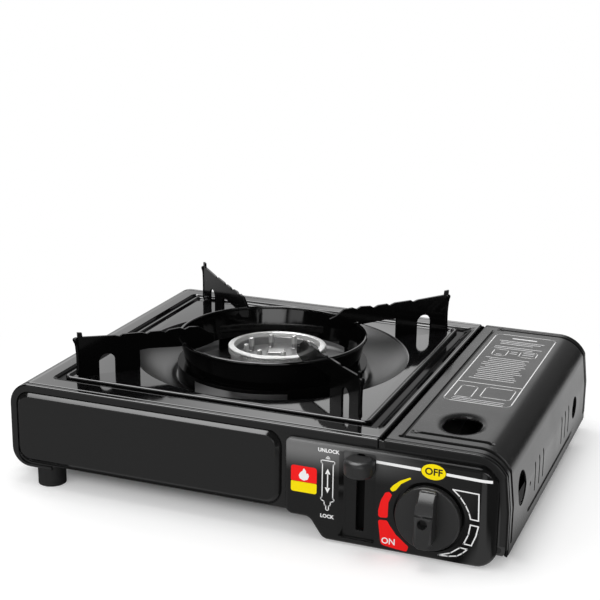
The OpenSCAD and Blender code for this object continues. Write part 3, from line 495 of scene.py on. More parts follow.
def sheen_painted_enamel(name, dark, light, low, high, specular):
    """Glossy panel paint with a painted sheen that fades in from grey at its upper left, and painted shade
    along its top edge, where its shine is taken down.
    """
    look = enamel(name, dark, low, high, specular, peel=0.0)
    place = look.split(look.place())
    # Painted sheen: grey over the upper left, fading towards the lower right.
    painted_sheen = look.times(look.ramp(place["Z"], 0.043, 0.060), look.ramp(place["X"], 0.135, 0.040))
    # Painted shade: above the top edge's height the shine drops to almost none.
    look.dress(Base_Color=look.blend(painted_sheen, (*dark, 1), (*light, 1)),
               Specular_IOR_Level=look.ramp(place["Z"], 0.0612, 0.0628, specular, 0.07))


def dish_enamel(name, colour, specular):
    """Gloss enamel that is duller inside the dish, where heat and baking left it less smooth."""
    look = enamel(name, colour, 0.05, 0.09, specular, 0.008)
    look.dress(Roughness=look.ramp(look.distance(*BURNER), 0.0955, 0.0975, 0.30, 0.07))


def grey(value):
    """A grey with a little blue in it."""
    return value, value, value * 1.01


def make_materials():
    """Every finish of the stove."""
    looks = bpy.context.scene.stove_looks
    case_colour = tuple(looks.case_colour)
    skin_group()
    grain_group()
    enamel("gloss_enamel", case_colour, 0.05, 0.09, 0.62, 0.008, painted_line_shade=True)
    dish_enamel("dish_enamel", case_colour, 0.62)
    enamel("ring_enamel", (0.002, 0.002, 0.002), 0.05, 0.08, 0.5, 0.01, painted_line_shade=True)
    enamel("support_enamel", (0.002, 0.002, 0.002), 0.09, 0.15, 0.16, 0.01)
    enamel("satin_enamel", tuple(looks.lid_colour), 0.18, 0.24, 0.24, 0.015, 600.0, painted_line_shade=True)
    enamel("front_enamel", tuple(looks.front_colour), 0.10, 0.14, 0.5, 0.015, 600.0)
    # Near-black matte for the lever's slide and guide, so the slot behind the lever reads dark: painted
    # shade.
    enamel("shade_black_zinc", grey(0.004), 0.4, 0.5, 0.05)
    sheen_painted_enamel("panel_black", tuple(looks.panel_colour), (0.17, 0.17, 0.17), 0.08, 0.12, 0.4)
    metal("zinc", (0.68, 0.68, 0.66), (0.5, 0.5, 0.49), 0.28, 0.42, 140.0)
    metal("steel", (0.72, 0.72, 0.71), (0.6, 0.6, 0.6), 0.2, 0.3, 400.0)
    metal("cast_alu", (0.8, 0.8, 0.79), (0.7, 0.7, 0.69), 0.28, 0.36, 500.0, 0.0)
    metal("brass", (0.78, 0.58, 0.25), (0.7, 0.5, 0.2), 0.2, 0.3, 400.0)
    x, y, head_top = (a + b for a, b in zip((*BURNER, BURNER_TOP), BURNER_SHIFT))
    # Painted shade: the ring is dark inside its wall, the insert dark low down between its pins.
    burner_metal("ring_alu", 0.86, 0.3, (x, y), (0.0299, 0.0302))
    burner_metal("insert_alu", 0.62, 0.28, None, ((head_top - 6.6) * MM, (head_top - 4.8) * MM))
    enamel("rubber", grey(0.012), 0.6, 0.75, 0.3, 0.2, 900.0)
    enamel("knob_plastic", grey(0.02), 0.36, 0.42, 0.42, 0.03, 900.0)
    enamel("igniter_plastic", (0.7, 0.7, 0.66), 0.35, 0.45, 0.5)
    enamel("ceramic", (0.85, 0.84, 0.8), 0.12, 0.2, 0.5)
    enamel("lead_red", (0.42, 0.02, 0.015), 0.4, 0.5, 0.4)
    for ink, colour, specular in (("white", (0.9, 0.9, 0.9), 0.12), ("yellow", (1.0, 0.79, 0.0), 0.12),
                                  ("red", (0.95, 0.012, 0.012), 0.12), ("black", grey(0.008), 0.3),
                                  ("grey", grey(0.85), 0.3)):
        enamel("print_" + ink, colour, 0.35, 0.45, specular, 0.0)


def dress_frame():
    """Gives each CAD node the finish of its slot."""
    # The lever's slide and guide take the near-black matte of painted shade; the hinge pins take the lid's
    # enamel.
    darker = {"lever_slide": "shade_black_zinc", "lever_guide": "shade_black_zinc", "lid_hinge_pins": "satin_enamel"}
    for part in frame["record"]["subparts"]:
        mesh = frame["nodes"][part["node"]]
        for slot in mesh.material_slots:
            slot.material = MATERIALS[darker.get(part["node"], part["material_slot"])]


# ---------- sheet case ----------
def turned_edge(y, s):
    """Rows of a sheet from its flat to its turned edge: depth under the face and place along the body."""
    groove = ((0, 5.2), (0, 5.0), (0.55, 4.4), (1.1, 3.8), (0.55, 3.2), (0, 2.6))
    rows = [(depth, y - s * back) for depth, back in groove]
    turns = [math.radians(a) for a in (0, 22.5, 45, 67.5, 90)]
    return rows + [(1.2 - 1.2 * math.cos(a), y - s * (1.2 - 1.2 * math.sin(a))) for a in turns]


def in_edge_line(y):
    """Whether a place along the body lies in the pressed line beside a turned edge."""
    return 3.0 < BACK - abs(y) < 4.6


def from_burner(place):
    """How far a place in the frame is from the burner's axis."""
    return math.hypot(place.x / MM - BURNER[0], place.y / MM - BODY_BACK - BURNER[1])


def mark_painted_shade(bm, inside):
    """Marks the vertices of pressed lines and walls that get painted shade, a loss of shine that darkens
    them.
    """
    groove = bm.verts.layers.float.new("groove")
    for v in bm.verts:
        v[groove] = float(inside(v.co.x / MM, v.co.y / MM - BODY_BACK, v.co.z / MM))


def build_case():
    """The wrapped sheet body with its pressed recess for the drip plate."""
    bm = start_mesh()
    outer = [(-140.0, 12.6, 0, -1)] + arc(-157, 25.6, 13, 270, 180, 10) + arc(-155, 56.6, 15, 180, 90, 10)
    bends = arc_points(-157, 22.9, 8, 270, 180, 10) + arc_points(-155, 56.6, 10, 180, 90, 10)
    inner = [(-140.0, 14.9)] + bends
    last = len(outer)
    outer += arc(87.3, 70.4, 1.2, 90, 0, 4) + [(88.5, 65.6, 1, 0)]
    inner.append((87.3, 66.6))

    def row(n, y):
        return [at(x - nx * n, y, z - nz * n) for x, z, nx, nz in outer]

    first = ring(bm, row(0, FRONT + 5.2), closed=False)
    for end, rows in ((FRONT, turned_edge(FRONT, -1)[1:]), (BACK, turned_edge(BACK, 1))):
        edges = first
        for n, y in rows:
            edges = pull(bm, edges, row(n, y))
        pull(bm, edges, [at(x, end, z) for x, z in inner], upto=last)
    bm.faces.ensure_lookup_table()
    top = max(bm.faces, key=lambda f: f.calc_area() if f.calc_center_median().z > FLAT_TOP else 0)
    border = top.edges[:]
    bmesh.ops.delete(bm, geom=[top], context="FACES_ONLY")
    # The recess: share of the way from its outer to its inner edge, and height over the top
    steps = [(-0.2, 0), (-0.12, 0.3), (-0.04, 0.3), (0.06, -0.1), (0.25, -0.4), (0.75, -1.6), (0.88, -1.92),
             (1.0, -2)]
    outer_edge, inner_edge = (-147.6, 85.6, -109, 112.8), (-145.4, 79.6, -106.6, 110.2)

    def edge_row(t, rise):
        x0, x1, y0, y1 = (a + (b - a) * t for a, b in zip(outer_edge, inner_edge))
        return [at(x, y, TOP + rise) for x, y in rounded_rect(x0, x1, y0, y1, 5, 10)]

    rim = ring(bm, edge_row(*steps[0]))
    fill(bm, border, rim)
    for step in steps[1:]:
        rim = pull(bm, rim, edge_row(*step))
    hole = bmesh.ops.create_circle(bm, segments=96, radius=100 * MM, matrix=move_to(*BURNER, TOP - 2))
    fill(bm, rim, {e for v in hole["verts"] for e in v.link_edges})
    merge(bm)
    turn_outward(bm, (0, 0, 1), FLAT_TOP)

    def in_recess_wall(x, y, z):
        high = TOP - (0.3 if x > -144 else 1.5)
        return TOP - 2.05 < z < high and -148 < x < 86.5 and -109.2 < y < 113

    # The pressed lines beside the turned edges and the recess wall are marked for painted shade.
    mark_painted_shade(bm, lambda x, y, z: in_edge_line(y) or in_recess_wall(x, y, z))
    case = as_sheet("case_wrap", bm)
    combine(case, [rod(-145.5, y, "z", 1.6, 10, 20, 24) for y in (-116, 112)])
    done(case, "chassis", "gloss_enamel", "gloss_enamel", "body_shell")


# ---------- lid ----------
LID_LEFT, LID_LOW = 91.5, 8.5
# Height of the left flange and its rounding
FLANGE, FLANGE_ROUND = 5.0, 1.2
# Both ends of the flat top, and the radius of the bend beside it
FLAT_X, ARC_X, ARC_R = 92.7, 148, 22
# The slanted side ends at the lid's right face at this place and height
SIDE_X, SIDE_Z = 170, 38
# Places along the lid's section, measured from its left flange's lower edge
LID_TOP_S = FLANGE + FLANGE_ROUND * math.pi / 2
LID_ARC_S = LID_TOP_S + ARC_X - FLAT_X
# Turn of the bend in degrees
LID_CREASE = 63.0
LID_SLANT_S = LID_ARC_S + ARC_R * math.radians(LID_CREASE)
# Height of the lowest pressed line
LOW_LINE_Z = 16


def line_depth(s, y, s0, s1, y0, y1, half, depth):
    """Depth of a steep-sided pressed line that runs from (s0, y0) to (s1, y1)."""
    away = math.hypot(max(s0 - s, 0, s - s1), max(y0 - y, 0, y - y1)) / half
    return 0.0 if away >= 1 else depth * (1 - away ** 4)


def thinned(values, gap):
    """Sorted values without those that follow the last one kept too closely."""
    kept = []
    for value in sorted(values):
        if not kept or value - kept[-1] > gap:
            kept.append(value)
    return kept


def spread(lo, hi, coarse, fine, *spots):
    """Grid lines: coarse all over and fine in the spots."""
    lines = {round(lo, 4), round(hi, 4)}
    count = max(1, round((hi - lo) / coarse))
    lines |= {round(lo + (hi - lo) * i / count, 4) for i in range(count + 1)}
    for a, b in spots:
        a, b = max(a, lo), min(b, hi)
        lines = {v for v in lines if v <= a or v >= b}
        count = max(1, round((b - a) / fine))
        lines |= {round(a + (b - a) * i / count, 4) for i in range(count + 1)}
    kept = thinned(lines, fine * 0.3)
    kept[-1] = round(hi, 4)
    return kept


def lid_section(s):
    """Point and outward direction of the lid's section at the length s."""
    if s <= FLANGE:
        return LID_LEFT, 65.4 + s, -1.0, 0.0
    if s < LID_TOP_S:
        a = math.pi - (s - FLANGE) / FLANGE_ROUND
        nx, nz = math.cos(a), math.sin(a)
        return FLAT_X + FLANGE_ROUND * nx, 70.4 + FLANGE_ROUND * nz, nx, nz
    if s <= LID_ARC_S:
        return FLAT_X + s - LID_TOP_S, TOP, 0.0, 1.0
    if s <= LID_SLANT_S:
        a = math.pi / 2 - (s - LID_ARC_S) / ARC_R
        return ARC_X + ARC_R * math.cos(a), 49.6 + ARC_R * math.sin(a), math.cos(a), math.sin(a)
    x0, z0, _, _ = lid_section(LID_SLANT_S)
    dx, dz = SIDE_X - x0, SIDE_Z - z0
    slant = math.hypot(dx, dz)
    t = s - LID_SLANT_S
    if t <= slant:
        return x0 + dx * t / slant, z0 + dz * t / slant, -dz / slant, dx / slant
    return float(SIDE_X), SIDE_Z - (t - slant), 1.0, 0.0


def s_of_x(x):
    """Length along the section of a place on the lid's flat top."""
    return LID_TOP_S + x - FLAT_X


def s_of_z(z):
    """Length along the section of a height on the lid's right face."""
    x0, z0, _, _ = lid_section(LID_SLANT_S)
    return LID_SLANT_S + math.hypot(SIDE_X - x0, SIDE_Z - z0) + SIDE_Z - z


def lid_lines():
    """Pressed lines of the lid: both ends along the section and along the body, half width and depth."""
    left, low = s_of_x(100.5), s_of_z(LOW_LINE_Z)
    return ((left, low, -115.2, -115.2, 2.2, 2.1), (s_of_x(107), low, 118, 118, 1.8, 1.6),
            (left, left, -115.2, 113, 1.2, 1.0), (s_of_x(105.5), s_of_x(153), -105.0, -105.0, 1.9, 1.9),
            (low, low, -69.5, 77, 1.4, 0.8))


def lid_depth(s, y, lines):
    """How deep the lid's face is pressed in at a place, and how much painted shade its lines carry there."""
    depth = max(line_depth(s, y, *line) for line in lines)
    # Painted shade in the pressed lines grows with their depth.
    mark = min(1.0, depth / 0.7)
    if s < LID_ARC_S:
        # Round the finger hole the face falls in towards the hole's edge
        across, length = abs(lid_section(s)[0] - 128.5) / 12.0, abs(y + 81) / 14.5
        away = (math.hypot(across, length) - 1) * 13.0
        if away < 6.0:
            depth = max(depth, 1.7 * (1 - max(away, 0) / 6.0) ** 2.2)
    return depth, mark


def lid_columns():
    """Places of the lid's grid lines along its section."""
    low, end = s_of_z(LOW_LINE_Z), s_of_z(LID_LOW)
    columns = {0.0, FLANGE, LID_SLANT_S, s_of_z(SIDE_Z), s_of_z(13.5), end}
    columns |= set(spread(LID_TOP_S, LID_ARC_S, 5, 0.6, (s_of_x(98.7), s_of_x(102.3))))
    columns |= set(spread(s_of_x(108), s_of_x(149), 5, 1.0, (s_of_x(108), s_of_x(148.5))))
    columns |= {FLANGE + FLANGE_ROUND * math.radians(a) for a in (22.5, 45, 67.5)}
    columns |= {LID_ARC_S + ARC_R * math.radians(a) for a in range(3, int(LID_CREASE) + 1, 3)}
    columns |= set(spread(LID_SLANT_S + 3, low - 2.1, 6, 1))
    columns |= set(spread(low - 2.1, low + 2.1, 5, 0.45, (low - 2.1, low + 2.1)))
    return thinned({round(c, 3) for c in columns if c <= end}, 0.15)


def lid_rows():
    """The lid's grid lines along the body: depth under its face and place."""
    middle = spread(FRONT + 5.4, BACK - 5.4, 6, 0.45, (-117.4, -113.0), (-107.2, -102.8), (115.9, 120.1))
    middle = sorted(set(spread(-102, -60, 1.1, 1.0)) | {m for m in middle if not -102 < m < -60})
    rows = [(4.8, FRONT)] + turned_edge(FRONT, -1)[::-1] + [(0, y) for y in middle]
    return rows + turned_edge(BACK, 1) + [(4.8, BACK)]


def build_lid():
    """The hinged cover of the cartridge bay, pressed from one sheet."""
    columns, rows, lines = lid_columns(), lid_rows(), lid_lines()
    bm = bmesh.new()
    nu, nv = len(columns) - 1, len(rows) - 1
    bmesh.ops.create_grid(bm, x_segments=nu, y_segments=nv, size=1)
    place = {}
    groove = bm.verts.layers.float.new("groove")
    for v in bm.verts:
        i, j = round((v.co.x + 1) / 2 * nu), round((v.co.y + 1) / 2 * nv)
        s, (n, y) = columns[i], rows[j]
        x, z, nx, nz = lid_section(s)
        if s < LID_TOP_S - 0.01:
            n = min(n, FLANGE_ROUND)
        # Each vertex also gets its share of painted shade: the line beside a turned edge, or the pressed
        # lines.
        depth, v[groove] = (n, float(in_edge_line(y))) if n else lid_depth(s, y, lines)
        v.co = at(x - nx * depth, y, z - nz * depth)
        place[v] = (s, j)
    gone = []
    for f in bm.faces:
        s = sum(place[v][0] for v in f.verts) / 4
        row_numbers = [place[v][1] for v in f.verts]
        y = abs(f.calc_center_median().y / MM - BODY_BACK)
        rim = min(row_numbers) == 0 or max(row_numbers) == nv
        unturned = rim and (s < LID_TOP_S or s > s_of_z(LOW_LINE_Z))
        if unturned or (y > 123.7 and s > s_of_z(13.6)) or (y > 123.6 and s < 4.9):
            gone.append(f)
    bmesh.ops.delete(bm, geom=gone, context="FACES")
    merge(bm)
    turn_outward(bm, (0, 0, 1), FLAT_TOP)
    lid = as_sheet("lid_shell", bm)
    cuts = [prism(four(116.5, 140.5, -95.5, -66.5, 11.8), "z", 60, 76)]
    for y, z, r, sides in ((-90, 39.5, 11, 64), (-67, 33, 1.6, 24), (78, 33, 8, 48)):
        cuts.append(rod(y, z, "x", r, *LID_CUT, sides))
    for y in (-52.5, -40, -28, 32.5, 44.5, 56.5):
        cuts.append(prism(four(y - 1.3, y + 1.3, 22, 42, 1.29), "x", *LID_CUT))
    combine(lid, cuts)
    done(lid, "lid", "satin_enamel", "satin_enamel", "container_lid", sharp=38, weighted=False)


# ---------- front ----------
WALL_OUTLINE = [
    (-168.9, 13.8, 12.2), (-139, 13.8), (-137.5, 15.5), (46.6, 15.5), (56.6, 2.5), (162.6, 2.5, 6.8),
    (162.6, 9.4), *arc_points(164.5, 12.5, 4.2, -50, 0, 4), (168.6, 13.2), (168.6, 70.2, 20.5), (90, 70.2),
    (90, 70.6), (88.7, 70.6), (88.7, 65.4), (87.3, 65.4), (87.3, 70.6), (-168.9, 70.6, 13.9)]
PANEL_CORNERS = [(29.6, 14.1, 5), (45.5, 14.1, 5), (54.8, 0.9, 6), (164, 0.9, 12), (164, 64.5, 13),
                 (29.6, 64.5, 3.2)]


def build_front():
    """The front wall with its raised field."""
    bm = start_mesh()
    y = FRONT + 1
    outline_face(bm, WALL_OUTLINE, lambda x, z: at(x, y, z))
    border = bm.edges[:]
    bmesh.ops.delete(bm, geom=bm.faces[:], context="FACES_ONLY")

    def row(inset, depth):
        points = rounded_rect(-165.7 + inset, 25.3 - inset, 16.6 + inset, 66.4 - inset, 10.6 - inset, 10)
        return [at(px, y - depth, pz) for px, pz in points]

    steps = [(-0.7, 0), (-0.5, -0.15), (-0.25, -0.85), (0, -0.9), (0.3, -0.5), (0.5, 0.0), (0.7, 0.25),
             (3.0, 2.3), (3.2, 2.45), (3.5, 2.5)]
    edges = ring(bm, row(*steps[0]))
    fill(bm, border, edges)
    for step in steps[1:]:
        edges = pull(bm, edges, row(*step))
    bmesh.ops.contextual_create(bm, geom=edges)
    turn_outward(bm, (0, -1, 0))
    wall = as_sheet("front_skin", bm)
    cuts = [rod(*KNOB, "y", 6, *WALL_CUT), rod(164.5, 12.5, "y", 1.95, *WALL_CUT, 32)]
    cuts.append(prism(four(75.2, 81.6, 9, 62.5, 2), "y", *WALL_CUT))
    cuts += [rod(x, z, "y", 1.6, *WALL_CUT, 24) for x, z in ((38, 33), (38, 56.1), (156, 46))]
    combine(wall, cuts)
    done(wall, "chassis", "front_enamel", "front_enamel", "front_panel")


def fall_back(bm):
    """Bends what lies on the panel's face back along its falling right end."""
    for x in SHOULDER_ROWS:
        divide(bm, at(x, 0, 0), (1, 0, 0))
    for v in bm.verts:
        if v.co.y < at(0, FRONT, 0).y:
            past = max(0.0, v.co.x / MM - SHOULDER_X)
            v.co.y += min(SHOULDER_FALL, SHOULDER_FALL * (past / 11) ** 2) * MM


def build_panel():
    """The control panel with its recesses for knob and lever."""
    bm = bmesh.new()
    back = FRONT + 2.5
    outline_face(bm, PANEL_CORNERS, lambda x, z: at(x, back, z))
    moved = set(push(bm, (0, PANEL_FACE - back, 0)))
    bevel(bm, [e for e in bm.edges if set(e.verts) <= moved], 2.4, 7)
    fall_back(bm)
    bmesh.ops.recalc_face_normals(bm, faces=bm.faces)
    panel = as_object("control_housing", bm)
    combine(panel, [
        rod(122.7, 28.3, "y", 22.3, PANEL_OUT, -126, 96),
        rod(*KNOB, "y", 6, PANEL_OUT, -118),
        prism(four(67.6, 88.6, 4.4, 62.6, 1, 1.5), "y", PANEL_OUT, -127.0),
        prism([(65.0, -129.6), (69.0, -129.6), (69.0, -126.9), (67.4, -126.9)], "z", 5.4, 61.6),
        prism(four(75.7, 81.1, 10, 61, 1.4), "y", PANEL_OUT, -118)])
    soften(panel, 0.35)
    done(panel, "chassis", "panel_black", "panel_black", "control_panel", sharp=45)


def build_knob():
    """The turning knob with its grip bar."""
    x, z = KNOB
    bm = rod(x, z, "y", 20.4, -133.2, -128.5, 96)
    front = at(0, -133.1, 0).y
    bevel(bm, [e for e in bm.edges if all(v.co.y < front for v in e.verts)], 1.1, 5)
    knob = as_object("control_knob_shape", bm)
    bar = prism(four(x - 5.0, x + 6.2, z - 14.5, z + 19.4, 4.4, 1.5), "y", -145, -131)
    for rise in (6, 8, 10, 13, 16):
        divide(bar, at(0, 0, z + rise), (0, 0, 1))
    front = {v for v in bar.verts if v.co.y < at(0, -144.9, 0).y}
    for v in front:
        # The bar's front falls back towards its upper end
        rise = max(0.0, v.co.z / MM - z - 6)
        v.co.y += min(0.09 * rise * rise, 0.9 * rise - 2.25 if rise > 5 else 99) * MM
    inside = {f for f in bar.faces if set(f.verts) <= front}
    rim = [e for e in bar.edges if set(e.verts) <= front and not set(e.link_faces) <= inside]
    bevel(bar, rim, 1.7, 5, clamp=True)
    bmesh.ops.recalc_face_normals(bar, faces=bar.faces)
    combine(knob, [bar], "UNION")
    combine(knob, [rod(x + 0.2, z + 1.5, "y", 3.1, -150, -138.6, 32), rod(x, z, "y", 3.95, -137.6, -120, 32)])
    soften(knob, 0.45, 35)
    done(knob, "knob", "knob_plastic", "knob_plastic", "control_knob")


def build_lever():
    """The locking lever's grip."""
    x, z = LEVER
    low, high = z - 4.7, z + 6.6
    bm = rod(x + 0.5, -132.9, "z", 9.6, low, high, 64)
    for level, width in ((high, 3.6), (low, 3.0)):
        bevel(bm, [e for e in bm.edges if all(abs(v.co.z - level * MM) < 1e-6 for v in e.verts)], width, 8)
    grip = as_object("lever_grip", bm)
    combine(grip, [prism(four(x - 15, x + 15, z - 20, z + 20), "y", -128.8, -100)])
    combine(grip, [prism(four(x - 1.9, x + 1.9, z - 4, z + 4), "y", -131, -123.7)], "UNION")
    soften(grip, 0.3)
    done(grip, "lever", "knob_plastic", "knob_plastic", "lock_lever")


# ---------- pan support ----------
def build_tray():
    """The drip plate: beaded edge, flat and dish."""
    bm = start_mesh()
    x0, x1, y0, y1 = PLATE
    flat = 70.6
    steps = [(0.0, 69.7), (0.0, 71.2), (0.25, 71.8), (0.8, 72.2), (1.4, 72.3), (2.0, 72.1), (2.5, 71.6),
             (2.9, 71.0), (3.2, 70.5), (3.6, 70.2), (4.0, 70.3), (4.5, flat)]

    def row(inset, z):
        sides = (x0 + inset, x1 - inset, y0 + inset, y1 - inset)
        return [at(x, y, z) for x, y in rounded_rect(*sides, max(5 - inset * 0.8, 1.5), 10)]

    edges = ring(bm, row(*steps[0]))
    for step in steps[1:]:
        edges = pull(bm, edges, row(*step))
    spun(bm, [(97.6, flat), (97.0, flat - 0.15), (96.5, flat - 0.6), (95.8, flat - 1.2), (93, 66.7),
              (88.5, 63.6), (83, 60.6), (77, 58.4), (72.5, 57.2), (70.6, 56.2), (69.2, 54.9), (67.6, 54.6),
              (44.4, 54.6), (43.5, 54.9), (43.1, 55.6), (43, 57.6)])

    def on_dish_rim(edge):
        level = all(abs(v.co.z - flat * MM) < 1e-6 for v in edge.verts)
        return edge.is_boundary and level and from_burner(edge.verts[0].co) < 99

    fill(bm, edges, [e for e in bm.edges if on_dish_rim(e)])
    turn_outward(bm, (0, 0, 1))
    tray = as_object("drip_tray", bm)
    thicken(tray, 0.8)
    done(tray, "pan_support", "gloss_enamel", "dish_enamel", "drip_plate", sharp=50)


def build_ring():
    """The wind ring; the lower part of its outer wall is marked for painted shade, which takes its shine
    down.
    """
    wind_ring = copy_of("wind_ring")
    bm = bmesh.new()
    bm.from_mesh(wind_ring.data)
    mark_painted_shade(bm, lambda x, y, z: z < 84.2 and from_burner(at(x, y, z)) - 0.2162 * z > 47.35)
    bm.to_mesh(wind_ring.data)
    bm.free()
    soften(wind_ring, 0.3)
    done(wind_ring, "pan_support", "gloss_enamel", "ring_enamel", "wind_ring")


# Each arm's turn round the burner in degrees, and how far its hem stands out
ARMS = {"front_left": (225, 1.0), "front_right": (315, 1.0), "back_left": (135, 1.0), "back_right": (45, 0.0)}


def build_arms():
    """The four pan arms: stamped plates with a hemmed outer edge."""
    for side, (turn, out) in ARMS.items():
        arm = copy_of("pan_arm_" + side)
        hem = bmesh.new()
        c, s = math.cos(math.radians(turn)), math.sin(math.radians(turn))
        points = [(141.2 + out, 71.4), (140.7 + out, 78), (140.7 + out, 86), (141.4 + out, 94),
                  (141.8 + out * 1.8, 98.8)]
        chain = [hem.verts.new(at(BURNER[0] + r * c, BURNER[1] + r * s, z)) for r, z in points]
        for pair in zip(chain, chain[1:]):
            hem.edges.new(pair)
        hem_obj = as_object("hem", hem)
        hem_obj.modifiers.new("skin", "SKIN").use_smooth_shade = True
        for i, v in enumerate(hem_obj.data.skin_vertices[0].data):
            v.radius = (0.0026, 0.0026) if i == len(points) - 1 else (0.0015, 0.0015)
        smooth = hem_obj.modifiers.new("round", "SUBSURF")
        smooth.levels = smooth.render_levels = 2
        settle(hem_obj)
        tool = bmesh.new()
        tool.from_mesh(hem_obj.data)
        bpy.data.objects.remove(hem_obj)
        combine(arm, [tool], "UNION")
        soften(arm, 0.35)
        done(arm, "pan_support", "gloss_enamel", "support_enamel", "pan_arm_" + side)


# ---------- burner ----------
def lean_burner(obj):
    """Sets a burner piece as it sits on its bracket: shifted a little and leaning back by its front edge."""
    pivot = move_to(*BURNER, BURNER_TOP)
    line = math.radians(LEAN_LINE)
    turn = turn_about(BURNER_LEAN, (math.cos(line), math.sin(line), 0))
    shift = Matrix.Translation(Vector(BURNER_SHIFT) * MM)
    obj.data.transform(shift @ pivot @ turn @ pivot.inverted())


def round_the_burner(count, start, radius):
    """Places on a circle round the burner's axis, each with its angle."""
    turns = [math.radians(start + 360 * k / count) for k in range(count)]
    return [(BURNER[0] + radius * math.cos(a), BURNER[1] + radius * math.sin(a), a) for a in turns]


def build_burner_ring():
    """The flame ring with its sloping rim, its ledge and its row of ports."""
    profile = [(29.2, -14), (29.2, -3.7), (29.5, -3.3), (30.2, -3.2), (30.4, -0.5), (30.8, -0.05), (31.3, 0),
               (34.0, -0.35), (34.6, -0.6), (34.9, -1.1), (34.8, -5.0), (34.4, -5.5), (33.2, -5.8),
               (33.0, -11), (32.0, -14), (29.2, -14)]
    bm = bmesh.new()
    spun(bm, [(r, BURNER_TOP + z) for r, z in profile])
    bmesh.ops.remove_doubles(bm, verts=bm.verts, dist=1e-6)
    bmesh.ops.recalc_face_normals(bm, faces=bm.faces)
    piece = as_object("burner_ring_shape", bm)
    ports = bmesh.new()
    port = Matrix.Diagonal((2.6 * MM, 1.1 * MM, 1.8 * MM, 1))
    for x, y, turn in round_the_burner(92, 0, 34.9):
        turned = Matrix.Rotation(turn, 4, "Z") @ port
        bmesh.ops.create_cube(ports, size=1, matrix=move_to(x, y, BURNER_TOP - 2.3) @ turned)
    combine(piece, [ports])
    lean_burner(piece)
    done(piece, "chassis", "cast_alu", "ring_alu", "burner_ring", sharp=32)


def build_burner_insert():
    """The insert: a plate with hollow pins and a raised block."""
    top = BURNER_TOP
    piece = as_object("burner_insert_shape", rod(*BURNER, "z", 29.0, top - 9.8, top - 8.3, 96))
    pins, holes = bmesh.new(), bmesh.new()
    for x, y, _ in round_the_burner(8, 33.3, 22.2):
        join(pins, rod(x, y, "z", 1.85, top - 9, top + 0.7, 24))
        join(holes, rod(x, y, "z", 0.8, top - 1.6, top + 2, 16))
    block = bmesh.new()
    bmesh.ops.create_cube(block, size=1, matrix=Matrix.Diagonal((13.5 * MM, 12 * MM, 3.0 * MM, 1)))
    bmesh.ops.scale(block, vec=(0.84, 0.8, 1), verts=[v for v in block.verts if v.co.z > 0])
    where = move_to(BURNER[0] - 1.5, BURNER[1] + 2, top - 7.2)
    bmesh.ops.transform(block, matrix=where @ turn_about(20, "Z"), verts=block.verts)
    combine(piece, [pins, block], "UNION")
    combine(piece, [holes])
    soften(piece, 0.3, 40)
    lean_burner(piece)
    done(piece, "chassis", "cast_alu", "insert_alu", "burner_insert")


def build_burner_bowl():
    """The bowl under ring and insert."""
    bowl = copy_of("burner_bowl")
    lean_burner(bowl)
    soften(bowl, 0.3, 40)
    done(bowl, "chassis", "cast_alu", "cast_alu", "burner_bowl")


def build_underside():
    """Back wall, floor, feet and screws with softened edges."""
    for node, slot, width in (("back_panel", "gloss_enamel", 0.25), ("base_pan", "gloss_enamel", 0.25),
                              ("rubber_feet", "rubber", 0.8), ("low_pads", "rubber", 0.4),
                              ("body_screws", "steel", 0.2), ("foot_screws", "steel", 0.2)):
        piece = copy_of(node)
        if node in ("rubber_feet", "foot_screws"):
            piece.data.transform(Matrix.Translation(Vector((-2, -2, 0)) * MM))
        soften(piece, width)
        done(piece, "chassis", slot, slot, node)


# ---------- printed marks ----------
def printed(name, bm, ink, body="chassis", slot="panel_black"):
    """A finished layer of ink."""
    done(as_object(name, bm), body, slot, "print_" + ink, sharp=30, weighted=False)


def print_plate(name, shapes, ink, y=PANEL_FACE):
    """Thin layer of ink on the panel; shapes are lists of (x, z) or (x, z, radius)."""
    bm = bmesh.new()
    for corners in shapes:
        layer = bmesh.new()
        outline_face(layer, corners, lambda a, b: at(a, y, b))
        push(layer, (0, -INK, 0))
        fall_back(layer)
        bmesh.ops.recalc_face_normals(layer, faces=layer.faces)
        join(bm, layer)
    printed(name, bm, ink)


def ellipse(cx, cz, rx, rz, steps=40):
    """Points of an ellipse."""
    turns = [math.tau * i / steps for i in range(steps)]
    return [(cx + rx * math.cos(a), cz + rz * math.sin(a)) for a in turns]


def stroke(points, width, closed=True):
    """Quads that follow a line of points."""
    quads = []
    for a, b in zip(points, points[1:] + points[:1] if closed else points[1:]):
        d = (Vector(b) - Vector(a)).normalized()
        n, t = Vector((-d.y, d.x)) * width / 2, d * width / 2
        a, b = Vector(a) - t, Vector(b) + t
        quads.append([tuple(a + n), tuple(a - n), tuple(b - n), tuple(b + n)])
    return quads


def lettering(word, x, z, size, ink, out, bold):
    """A plain word on the panel, made a mesh."""
    name = word.lower() + "_word"
    curve = bpy.data.curves.new(name, "FONT")
    curve.body, curve.size, curve.align_x, curve.align_y = word, size * MM, "CENTER", "CENTER"
    curve.extrude, curve.resolution_u, curve.offset = 0.03 * MM, 3, bold * MM
    temp = bpy.data.objects.new(name + "_text", curve)
    bpy.context.scene.collection.objects.link(temp)
    bpy.context.view_layer.update()
    mesh = bpy.data.meshes.new_from_object(temp.evaluated_get(bpy.context.evaluated_depsgraph_get()))
    bpy.data.objects.remove(temp)
    bm = bmesh.new()
    bm.from_mesh(mesh)
    bpy.data.meshes.remove(mesh)
    bmesh.ops.remove_doubles(bm, verts=bm.verts, dist=1e-7)
    bmesh.ops.transform(bm, matrix=move_to(x, PANEL_FACE - out, z) @ turn_about(90, "X"), verts=bm.verts)
    printed(name, bm, ink)


